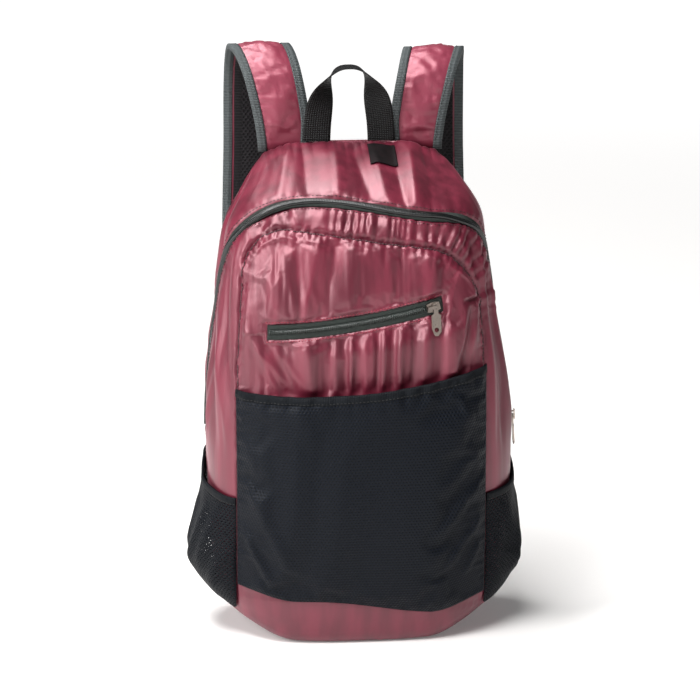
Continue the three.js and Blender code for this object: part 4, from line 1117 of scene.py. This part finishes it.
def settleFrontMesh():
    s, t = np.meshgrid(np.linspace(0, 1, 64), np.linspace(0, 1, 60))
    place = frontMeshPlace(s, t)
    sewn = (s < 0.001) | (s > 0.999) | (t < 0.001) | ((t > 0.999) & (np.abs(s - 0.5) > 0.1))
    return settle(skin(*place, frontMeshLift(s, t)), outwardAt(place), sewn, meshCloth["settling"])


meshRipples = settleFrontMesh()
meshPiece = makeFrontMesh()
frontTall = panel["mouth"] - panel["foot"]
frontHem = hemStrip(
    "front_pocket_binding", frontMeshPlace, frontMeshLift, 150, frontPocket["hem"], frontTall, 0.5
)
seat(frontHem, "black_webbing", "front_pocket_hem")
print("front mesh pocket made")

# The side pockets: real nets

net = {"pitch": 3.4, "hole": 0.24, "wall": 0.7}
sideFolds = {  # from s, t to s, t, width in shares, rise in mm
    "left": [
        (0.1, 0.95, 0.3, 0.25, 0.05, 3.0), (0.25, 0.9, 0.45, 0.2, 0.06, 3.4),
        (0.02, 0.6, 0.2, 0.08, 0.05, 2.4), (0.5, 0.95, 0.62, 0.3, 0.06, 2.6),
    ],
    "right": [
        (0.12, 0.95, 0.3, 0.3, 0.06, 3.0), (0.3, 0.85, 0.2, 0.15, 0.05, 3.2),
        (0.45, 0.95, 0.5, 0.3, 0.06, 2.8), (0.1, 0.5, 0.45, 0.12, 0.05, 3.0),
        (0.7, 0.9, 0.66, 0.3, 0.06, 2.0),
    ],
}


def sideSwell(side, s, t):
    full, left = sidePocket["fullest"], sidePocket["mouthShare"]
    up = np.where(t < full, np.sin(math.pi / 2 * t / full), left + (1 - left) * smooth((1 - t) / (1 - full)))
    return sidePocket["bulge"][side] * np.maximum(0, 4 * s * (1 - s)) ** 0.7 * up


def sideLift(side):
    def liftAt(s, t):
        edge = smooth(np.minimum(s, 1 - s) * 9) * smooth(t * 7)
        creases = ridges(sideFolds[side], s, t) * edge * smooth((1 - t) * 6 + 0.15)
        soft = 1.6 * noiseAt(s * 5, t * 3, 61 if side == "left" else 62) * edge
        return sidePocket["low"] + 1.0 + sideSwell(side, s, t) * 0.93 + creases + soft
    return liftAt


def hexNet(width, height, pitch, hole):
    # rings of six quads round six-sided holes; neighbours share their outer corners
    corner, rowGap = pitch / math.sqrt(3), pitch * math.sqrt(3) / 2
    points, index, faces = [], {}, []

    def corners(u, v):
        u, v = min(max(u, 0), width), min(max(v, 0), height)
        key = (round(u * 20), round(v * 20))
        if key not in index:
            index[key] = len(points)
            points.append((u, v))
        return index[key]

    for row in range(round(height / rowGap) + 2):
        for column in range(round(width / pitch) + 2):
            u, v = (column + row % 2 / 2) * pitch, row * rowGap
            if u > width + pitch * 0.4 or v > height + pitch * 0.4:
                continue
            angles = [math.radians(30 + 60 * k) for k in range(6)]
            outer = [corners(u + corner * math.cos(a), v + corner * math.sin(a)) for a in angles]
            if len(set(outer)) < 6:
                continue
            middle = np.mean([points[i] for i in outer], axis=0)
            start = len(points)
            points.extend(middle + (np.array(points[i]) - middle) * hole * math.sqrt(3) for i in outer)
            faces.extend([outer[k], outer[(k + 1) % 6], start + (k + 1) % 6, start + k] for k in range(6))
    return np.array([tuple(p) for p in points]), faces


def makeSidePocket(side, sign):
    placeAt, liftAt = sidePocketPlace(sign), sideLift(side)
    s, t = np.linspace(0, 1, 60), np.full(60, 0.5)
    width = runAlong(skin(*placeAt(s, t), liftAt(s, t)))[-1]
    height = (sidePocket["front"] + sidePocket["back"]) / 2 - sidePocket["foot"] + 8
    flat, faces = hexNet(width, height, net["pitch"], net["hole"])
    s, t = flat[:, 0] / width, flat[:, 1] / height
    piece = newPiece(f"side_pocket_net_{side}", skin(*placeAt(s, t), liftAt(s, t)), faces, netYarn, flat)
    thick = piece.modifiers.new("thickness", "SOLIDIFY")
    thick.thickness = net["wall"] * mm
    seat(piece, "pocket_mesh", f"side_mesh_pocket_{side}")
    hem = hemStrip(f"side_pocket_binding_{side}", placeAt, liftAt, 80, sidePocket["hem"], height, 0.3)
    seat(hem, "black_webbing", f"side_pocket_hem_{side}")
    return piece, hem, (width, height)


sidePieces = {side: makeSidePocket(side, sign) for side, sign in (("right", 1), ("left", -1))}
print("side pockets made")

# The zips


def zipStrip(name, placeAt, spacing, fromT, toT, outline, finish, lift=0.0):
    line = lineOnSkin(placeAt, stationsBy(placeAt, spacing, fromT, toT))
    points, faces, uv = sweep(shifted(line, lift=lift), np.array(outline))
    return newPiece(name, points, faces, finish, uv)


def domed(width, rise, groove=0.0, count=13):
    # a round-topped ridge with a fine groove along its middle
    x = np.linspace(-1, 1, count)
    top = rise * (1 - np.abs(x) ** 2.6) - groove * np.exp(-((x * width / 2 / 0.45) ** 2))
    return [(-width / 2, -0.5), *zip(x * width / 2, top), (width / 2, -0.5)][::-1]


def makeMainZip():
    half = mainZip["width"] / 2
    tape = [(-half, -1.2), (half, -1.2), (half, 0.15), (-half, 0.15)]
    piece = zipStrip("main_zip_side_tapes", mainZipPlace, 4, 0.002, 0.998, tape, zipTape)
    seat(piece, "zip_tape", "main_zip_tape")
    t = stationsBy(mainZipPlace, 2.2, mainZip["ridgeFrom"], 0.99)
    line = lineOnSkin(mainZipPlace, t)
    wave = mainZip["waver"] * noiseAt(t * 17, 0.5, 71) * smooth(t * 20)
    line = shifted(line, wave, 0.6 * noiseAt(t * 30, 0.5, 72))
    points, faces, uv = sweep(line, np.array(domed(mainZip["rib"], mainZip["ribRise"], 0.5)))
    ridge = newPiece("main_zip_ridge", points, faces, coverTape, uv)
    seat(ridge, "zip_coil", "main_zip_coil")


def makeFrontZip():
    half = frontZip["width"] / 2
    x = np.linspace(-half + 0.4, half - 0.4, 25)
    ribbed = 1.15 + 0.22 * np.exp(-(((np.abs(x) - 3.7) / 0.7) ** 2))  # the stitching that holds the coil
    tape = [(-half + 0.4, 0.1), (half - 0.4, 0.1), *zip(x[::-1], ribbed[::-1])]
    piece = zipStrip("front_zip_woven_tape", frontZipPlace, 2, 0.0, 1.0, tape, zipTape, 1.0)
    seat(piece, "zip_tape", "front_zip_tape")
    start, end = frontZip["coilFrom"], frontZip["coilTo"]
    core = zipStrip("front_zip_core", frontZipPlace, 3, start, end, domed(3.4, 1.0), zipCoil, 2.0)
    t = stationsBy(frontZipPlace, frontZip["teethPitch"] / 2, start, end)
    line = lineOnSkin(frontZipPlace, t)
    hand = np.where(np.arange(len(t)) % 2 == 0, 0.75, -0.75)  # the coil's left and right turns alternate
    tooth = np.array([(0.42 * c, y, 0.75 + 0.62 * s) for y in (-1.5, 1.5) for c, s in hexagon])
    faces = [(k, (k + 1) % 6, 6 + (k + 1) % 6, 6 + k) for k in range(6)]
    faces += [tuple(range(6))[::-1], tuple(range(6, 12))]
    points, faces = repeated(tooth, faces, shifted(line, hand, 2.2))[:2]
    teeth = newPiece("front_zip_teeth", points, faces, zipCoil)
    seat(core, "zip_coil", "front_zip_coil")
    seat(teeth, "zip_coil")


makeMainZip()
makeFrontZip()
print("zips made")

# Curves of the straps, webbing and loop


def curveThrough(points, at):
    # the smooth curve that the frame's bands follow, at shares of its points
    points = np.array(points, float)
    points = np.concatenate([[2 * points[0] - points[1]], points, [2 * points[-1] - points[-2]]])
    gap = np.maximum(np.linalg.norm(np.diff(points, axis=0), axis=1) ** 0.5, 1e-4)
    place = np.clip(at, 0, 1) * (len(points) - 3)
    i = np.minimum(place.astype(int), len(points) - 4)
    w = (place - i)[:, None]
    a, b, c, d = (points[i + k] for k in range(4))
    before, here, after = (gap[i + k][:, None] for k in range(3))
    leave = ((b - a) / before - (c - a) / (before + here) + (c - b) / here) * here
    arrive = ((c - b) / here - (d - b) / (here + after) + (d - c) / after) * here
    return b + leave * w + (3 * (c - b) - 2 * leave - arrive) * w**2 + (2 * (b - c) + leave + arrive) * w**3


def bandLine(points, spacing):
    # stations of equal length along the curve; the band's width stays level
    fine = np.linspace(0, 1, 2400)
    run = runAlong(curveThrough(points, fine))
    t = np.interp(np.linspace(0, run[-1], max(8, round(run[-1] / spacing))), run, fine)
    p = curveThrough(points, t)
    along = unit(curveThrough(points, t + 5e-4) - curveThrough(points, t - 5e-4))
    side = np.broadcast_to([1.0, 0, 0], p.shape)
    return t, (p, side, unit(np.cross(side, along))), along, run[-1]


def roundedBand(width, thick, bulge=0.0):
    # a flat band's section with soft edges
    x = np.linspace(-1, 1, 11)
    half = thick / 2 * (1 - 0.75 * np.abs(x) ** 8) + bulge * (1 - x * x)
    under, over = (np.stack([x * width / 2, level], -1) for level in (-half, half))
    return np.concatenate([under, over[::-1]])


strap = {
    "way": [  # out from the middle, back, up over the top seam and down below it
        (1.0, 0.362, 0.006, 0), (1.02, 0.364, 0.25, 0), (1.15, 0.41, 0.74, 0), (1.25, 0.51, 0.95, 0),
        (1.33, 0.64, 1.0, 0), (1.36, 0.76, 0.84, 0), (1.38, 0.82, 0.5, 0), (1.4, 0.835, 0, 0.03),
        (1.47, 0.81, 0, 0.24), (1.51, 0.765, 0, 0.375), (1.51, 0.735, 0, 0.435),
    ],
    "taperAt": [0, 0.18, 0.4, 0.68, 0.84, 1], "taper": [0.86, 0.96, 1.02, 1.0, 0.88, 0.66],
    "spread": 61, "rise": {"left": 82, "right": 77}, "length": 430, "width": 55, "pad": 2.5, "edge": 1.2,
    "binding": 8, "bindingWall": 1.0,
    "puckers": {"pitch": 7.2, "rise": 2.1, "reach": 6},
    "root": 9,  # how far it reaches down into the seam
    "settling": {"slack": 0.05, "push": 1.4, "stiffness": 0.1, "frames": 16, "mostIn": 1.2, "mostOut": 1.6},
}


def strapHalfAt(t):
    rows = np.linspace(0, len(strap["taper"]) - 1, 400)
    row = np.interp(t, columnAt(strap["taperAt"], rows), rows)
    return columnAt(strap["taper"], row) * strap["width"] / 2


def strapPoints(side, sign):
    return [
        (sign * out * strap["spread"], back * bag["depth"],
         bag["height"] + up * strap["rise"][side] - down * strap["length"])
        for out, back, up, down in strap["way"]
    ]


def settlePad(points, length, seed):
    # the face cloth of a pad, held down along both bindings
    share, line = bandLine(points, 4.0)[:2]
    section = padSection(share, length, seed)[:, 35:][:, ::-1]
    p, side, up = line
    grid = p[:, None] + side[:, None] * section[..., :1] + up[:, None] * section[..., 1:]
    flange = strapHalfAt(share)[:, None] - strap["binding"] - 0.5
    sewn = np.abs(section[..., 0]) > flange
    sewn[[0, -1]] = True
    return settle(grid, np.broadcast_to(up[:, None], grid.shape), sewn, strap["settling"])


def padSection(t, length, seed, ripples=None):
    # underside flat, face domed between its flanges, with creases that the bindings pull and a crumpled root
    half = strapHalfAt(t) - 1.4
    flange = half - 8.4
    x = np.sin(np.linspace(-1, 1, 35) * math.pi / 2)
    x, t = np.meshgrid(x, t)
    half, flange = half[:, None], flange[:, None]
    across, along = x * half, t * length
    fullness = smooth(t * 12) * smooth((1 - t) * 8)
    dome = 1 - np.minimum(1, np.abs(across) / (flange + 1.5)) ** 2.6
    top = strap["edge"] + 0.1 + strap["pad"] * fullness * dome
    puckers = strap["puckers"]
    inside = np.abs(across) < flange + 1
    for hand, k in ((1, 0), (-1, 1)):
        far = np.maximum(0, flange - hand * across)
        creases = pleats(along * np.ones_like(x), puckers["pitch"], seed + k) - 0.6
        top += puckers["rise"] * creases * np.exp(-((far / puckers["reach"]) ** 1.4)) * inside * fullness
    near = np.exp(-((along / 34) ** 2)) * smooth(along / 5)
    crumple = 1.5 * noiseAt(across / 11, along / 8, seed + 2) + 0.8 * noiseAt(across / 5, along / 5, seed + 3)
    top += inside * near * crumple
    top += inside * 0.55 * noiseAt(across / 15, along / 22, seed + 4) * fullness
    if ripples is not None:
        top += sampled(ripples, (x + 1) / 2, t) * inside
    top = np.maximum(top, strap["edge"])
    low = np.full_like(top, -strap["edge"])
    return np.concatenate([np.stack([across, low], -1), np.stack([across[:, ::-1], top[:, ::-1]], -1)], 1)


def bindingSection(half, hand):
    rim, lip, cave = half, half - strap["binding"], half - strap["bindingWall"]
    within, out = strap["edge"] + 0.3, strap["edge"] + 1.3
    corner = [(rim - 0.5, -out), (rim, -out + 0.7), (rim, out - 0.7), (rim - 0.5, out)]
    way = [(lip, within), (cave, within), (cave, -within), (lip, -within), (lip - 0.2, -out + 0.4),
           (lip + 0.6, -out), *corner, (lip + 0.6, out), (lip - 0.2, out - 0.4)]
    section = np.stack([np.stack(np.broadcast_arrays(a, b), -1) for a, b in way], 1)
    section[..., 0] *= hand
    return section


def makeStrap(side, sign, seed):
    share, line, along, length = bandLine(strapPoints(side, sign), 2.3)
    line = tuple(np.concatenate([part[:1], part]) for part in line)
    line[0][0] -= along[0] * strap["root"]
    share, along = np.concatenate([[0], share]), np.concatenate([along[:1], along])
    ripples = settlePad(strapPoints(side, sign), length, seed)
    points, faces, uv = sweep(line, padSection(share, length, seed, ripples))
    pad = newPiece(f"strap_pad_{side}", points, faces, strapTaffeta, uv)
    seat(pad, "maroon_nylon", f"shoulder_strap_{side}")
    half = strapHalfAt(share)
    points, faces, uv = sweep(line, np.stack([
        np.stack([x * (half - 9.8), np.full_like(half, z)], -1) for x, z in
        ((-1, -2.8), (-0.98, -1.7), (0.98, -1.7), (1, -2.8), (0.6, -3.0), (0, -3.1), (-0.6, -3.0))
    ], 1))
    lining = newPiece(f"strap_mesh_lining_{side}", points, faces, liningMesh, uv)
    seat(lining, "strap_lining", f"strap_lining_{side}")
    stitches = []
    for where, hand in (("outer", sign), ("inner", -sign)):
        points, faces, uv = sweep(line, bindingSection(half, hand))
        binding = newPiece(f"grosgrain_{where}_{side}", points, faces, edgeBinding, uv)
        seat(binding, "grey_binding", f"strap_binding_{where}_{side}")
        rowShare, row = bandLine(strapPoints(side, sign), sewing["strap"][0])[:2]
        across = hand * (strapHalfAt(rowShare) - strap["binding"] + 1.3)
        stitches.append(stitchRow(shifted(row, across, strap["edge"] + 1.35), *sewing["strap"][1:]))
    return line, along, joined(stitches)


haulLoop = {"width": 25, "wall": 1.6, "span": 59, "rise": 69, "shift": -1.5, "back": 0.316}


def makeHaulLoop():
    def arch(t):
        a = np.pi * t
        reach = haulLoop["span"] / 2 * np.sign(np.cos(a)) * np.abs(np.cos(a)) ** 0.75
        x = haulLoop["shift"] - reach * (1 - 0.1 * np.sin(a))
        z = bag["height"] + 1 + (haulLoop["rise"] - 1) * np.maximum(0, np.sin(a)) ** 0.8
        return np.stack([x, np.full_like(x, bag["depth"] * haulLoop["back"]), z], -1)

    t = np.linspace(0, 1, 150)
    p = arch(t)
    along = unit(arch(np.minimum(1, t + 0.01)) - arch(np.maximum(0, t - 0.01)))
    deep = np.broadcast_to([0.0, 1, 0], p.shape)
    flat = np.cross(deep, along)
    twist = (math.pi / 2 * smooth(np.maximum(0, np.sin(np.pi * t)) ** 1.5))[:, None]
    side = flat * np.cos(twist) + deep * np.sin(twist)
    section = roundedBand(haulLoop["width"], haulLoop["wall"])
    points, faces, uv = sweep((p, side, unit(np.cross(side, along))), section)
    loop = newPiece("haul_loop_webbing", points, faces, haulWebbing, uv)
    seat(loop, "black_webbing", "haul_loop")


webbing = {
    "width": 20, "wall": 1.4, "lockStart": 16, "bar": 4, "slot": 6, "thick": 5, "tail": 62, "straight": 26,
    "anchor": 0.68, "tabLift": 0.8,
}


def makeStrapEnd(side, sign, line, along):
    # the loop that holds the ladder lock, the webbing woven through it with its tail, and the anchor tab
    root, up, down = line[0][-1], line[2][-1], along[-1]
    play = webbing["wall"] / 2 + 0.6
    layer = webbing["thick"] / 2 + play
    bars = [webbing["lockStart"] + k * (webbing["bar"] + webbing["slot"]) for k in range(3)]
    turned = layer - play - 0.3
    eye = bars[0] + webbing["bar"] + play
    route = lambda pairs: [root + down * d + up * o for d, o in pairs]
    upper = [(1, layer * 0.45), (webbing["lockStart"] - 6, layer * 0.8), (bars[0], layer),
             (bars[0] + webbing["bar"] - 0.3, layer), (eye, turned), (eye, 0)]
    loop = upper + [(d, -o) for d, o in upper[-2::-1]]
    points, faces, uv = sweep(bandLine(route(loop), 1.2)[1], roundedBand(webbing["width"], webbing["wall"]))
    piece = newPiece(f"end_loop_webbing_{side}", points, faces, haulWebbing, uv)
    seat(piece, "black_webbing", f"strap_end_loop_{side}")
    seatLift = webbing["tabLift"] + webbing["wall"] + 1.12 + webbing["wall"] / 2
    level = levelAt(bag["height"] * 0.1)
    turn = turnAt(sign * webbing["anchor"], True)
    under = -layer - webbing["wall"] - 1.2
    way = route([
        (bars[2] + webbing["straight"], under * 1.15), (bars[2], under), (bars[1] + 2, under),
        (bars[1] - play, -turned), (bars[1] - play, turned), (bars[1] + 0.3, layer),
        (bars[1] + webbing["bar"] - 0.3, layer), (bars[1] + webbing["bar"] + play, turned),
        (bars[1] + webbing["bar"] + play, -turned), (bars[2] + 0.3, -layer),
        (bars[2] + webbing["bar"] + 6, -layer), (bars[2] + webbing["tail"] * 0.6, -layer + 2),
        (bars[2] + webbing["tail"], -layer + 5),
    ])
    way = [skin(turn, level, seatLift), skin(turn, level + 0.5, seatLift + 2), *way]
    points, faces, uv = sweep(bandLine(way, 1.6)[1], roundedBand(webbing["width"] - 0.6, webbing["wall"]))
    piece = newPiece(f"strap_webbing_{side}", points, faces, haulWebbing, uv)
    seat(piece, "black_webbing", f"lower_webbing_{side}")
    s, t = np.meshgrid(np.linspace(0, 1, 24), np.linspace(0, 1, 20))
    reach = webbing["width"] * (0.6 + 0.55 * t)
    turns = turnAt(sign * webbing["anchor"] + (s - 0.5) * 2 * reach / bag["width"], True)
    lift = webbing["tabLift"] + webbing["wall"] + 0.25 * noiseAt(s * 4, t * 4, 81) - 0.3
    place = (turns, level - 0.25 + 0.8 * t)
    points, faces = wallBetween(skin(*place, lift), skin(*place, lift - 1.0))
    seat(newPiece(f"anchor_patch_{side}", points, faces, maroonTaffeta), "maroon_nylon", f"anchor_tab_{side}")


strapStitches = []
for side, sign, seed in (("right", 1, 91), ("left", -1, 101)):
    line, along, stitches = makeStrap(side, sign, seed)
    strapStitches.append(stitches)
    makeStrapEnd(side, sign, line, along)
makeHaulLoop()
print("straps, loop and webbing made")


# a near-black sheet on the top beside the loop's right foot: partly the loop's dark foot, partly painted
# shadow of the loop
def makeLoopShadowPatch():
    s, t = np.meshgrid(np.linspace(0, 1, 30), np.linspace(0, 1, 22))
    level = levelAt(bag["height"] * (0.968 + 0.027 * t))
    turn = frontTurn(haulLoop["span"] * 0.45 + haulLoop["width"] * (s - 0.5), level)
    p = plainPoint(turn, level)
    under = creased(topFacets, p[..., 0], p[..., 2], bag["height"], bag["height"] * bag["zipCrest"])
    lift = 0.9 + under * belowTopSeam(p[..., 2]) + 0.5 * noiseAt(s * 4, t * 3, 85)
    points, faces = wallBetween(skin(turn, level, lift + 0.8), skin(turn, level, lift))
    seat(newPiece("top_patch_painted_shadow", points, faces, loopShadowPatch), "dark_patch", "loop_patch")


makeLoopShadowPatch()

# Sewing


def sewnRow(line, tree, kind, lift):
    return stitchRow(laidOn(line, tree, lift), *sewing[kind][1:])


def lineOnFront(x, z, spacing):
    # stations of equal length along a line given by its points on the front
    run = runAlong(skin(*onFront(x, z)))
    even = np.linspace(0, run[-1], round(run[-1] / spacing))
    x, z = np.interp(even, run, x), np.interp(even, run, z)
    p = skin(*onFront(x, z))
    return framed(p, unit(np.gradient(p, axis=0)), skin(*onFront(x, z), 1.0) - p)


def makeStitches():
    outline = panelOutline()
    kept = outline[outline[:, 1] > sewnFrom]
    line = lineOnFront(kept[:, 0], kept[:, 1], sewing["panelSeam"][0])
    wander = 1.1 * noiseAt(np.arange(len(line[0])) * 0.8, 0.5, 91)  # the pulled seam runs unevenly
    # the seam's stitches are longer than their spacing and run into one near-black line: thread, and painted
    # shade of the tucked seam
    seam = sewnRow(shifted(line, wander - 0.4), panelTree, "panelSeam", 0.1)
    line = lineOnSkin(mainZipPlace, stationsBy(mainZipPlace, sewing["mainZip"][0], 0.01, 0.99))
    rows = [sewnRow(shifted(line, hand * 7.2), sackTree, "mainZip", 0.2) for hand in (1, -1)]
    seat(newPiece("maroon_stitches_and_seam_shade", *joined([*rows, seam])[:2], seamShadeThread), "maroon_nylon")
    line = lineOnSkin(frontZipPlace, stationsBy(frontZipPlace, sewing["pocketZip"][0]))
    rows = [sewnRow(shifted(line, hand * 8.6), panelTree, "pocketZip", 0.2) for hand in (1, -1)]
    seat(newPiece("red_stitches", *joined(rows)[:2], redThread), "maroon_nylon")
    rows = [sewnRow(hemRow(placeAt, liftAt, length), treeOf(hem), "hem", 0.1)
            for placeAt, liftAt, length, hem in hemLines]
    seat(newPiece("black_stitches", *joined(rows + strapStitches)[:2], blackThread), "black_webbing")


def hemRow(placeAt, liftAt, length):
    # 1.4 mm above the binding's lower edge
    s = np.linspace(0.01, 0.99, 1500)
    t = np.full_like(s, 1 - 6.6 / length)
    run = runAlong(skin(*placeAt(s, t), liftAt(s, t)))
    s = np.interp(np.linspace(0, run[-1], round(run[-1] / sewing["hem"][0])), run, s)
    t = np.full_like(s, t[0])
    p = skin(*placeAt(s, t), liftAt(s, t))
    return framed(p, unit(np.gradient(p, axis=0)), skin(*placeAt(s, t), liftAt(s, t) + 1) - p)


hemLines = [(frontMeshPlace, frontMeshLift, frontTall, frontHem)]
for side, sign in (("right", 1), ("left", -1)):
    hem, size = sidePieces[side][1:]
    hemLines.append((sidePocketPlace(sign), sideLift(side), size[1], hem))
makeStitches()
print("stitches made")

# The side nets' flat sizes in metres, worked out and not kept

for piece, hem, cut in sidePieces.values():
    [c * mm for c in cut]

# What stays as the frame has it: sliders, pulls and ladder locks


def dress(name, finish, edge):
    node = bpy.data.objects[name]
    node.data.materials.clear()
    node.data.materials.append(finish)
    soft = node.modifiers.new("softened_edges", "BEVEL")
    soft.width = edge * mm
    soft.segments = 2
    soft.angle_limit = math.radians(35)


for name in ("main_zip_slider", "main_zip_pull", "front_zip_slider", "front_zip_pull"):
    dress(name, nickelPlate, 0.25)
for side in ("right", "left"):
    dress(f"ladder_lock_{side}", buckleAcetal, 0.5)
print("metal and plastic dressed")

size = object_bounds()
{"cad": [list(c) for c in cadBox], "visual": [list(c) for c in size]}
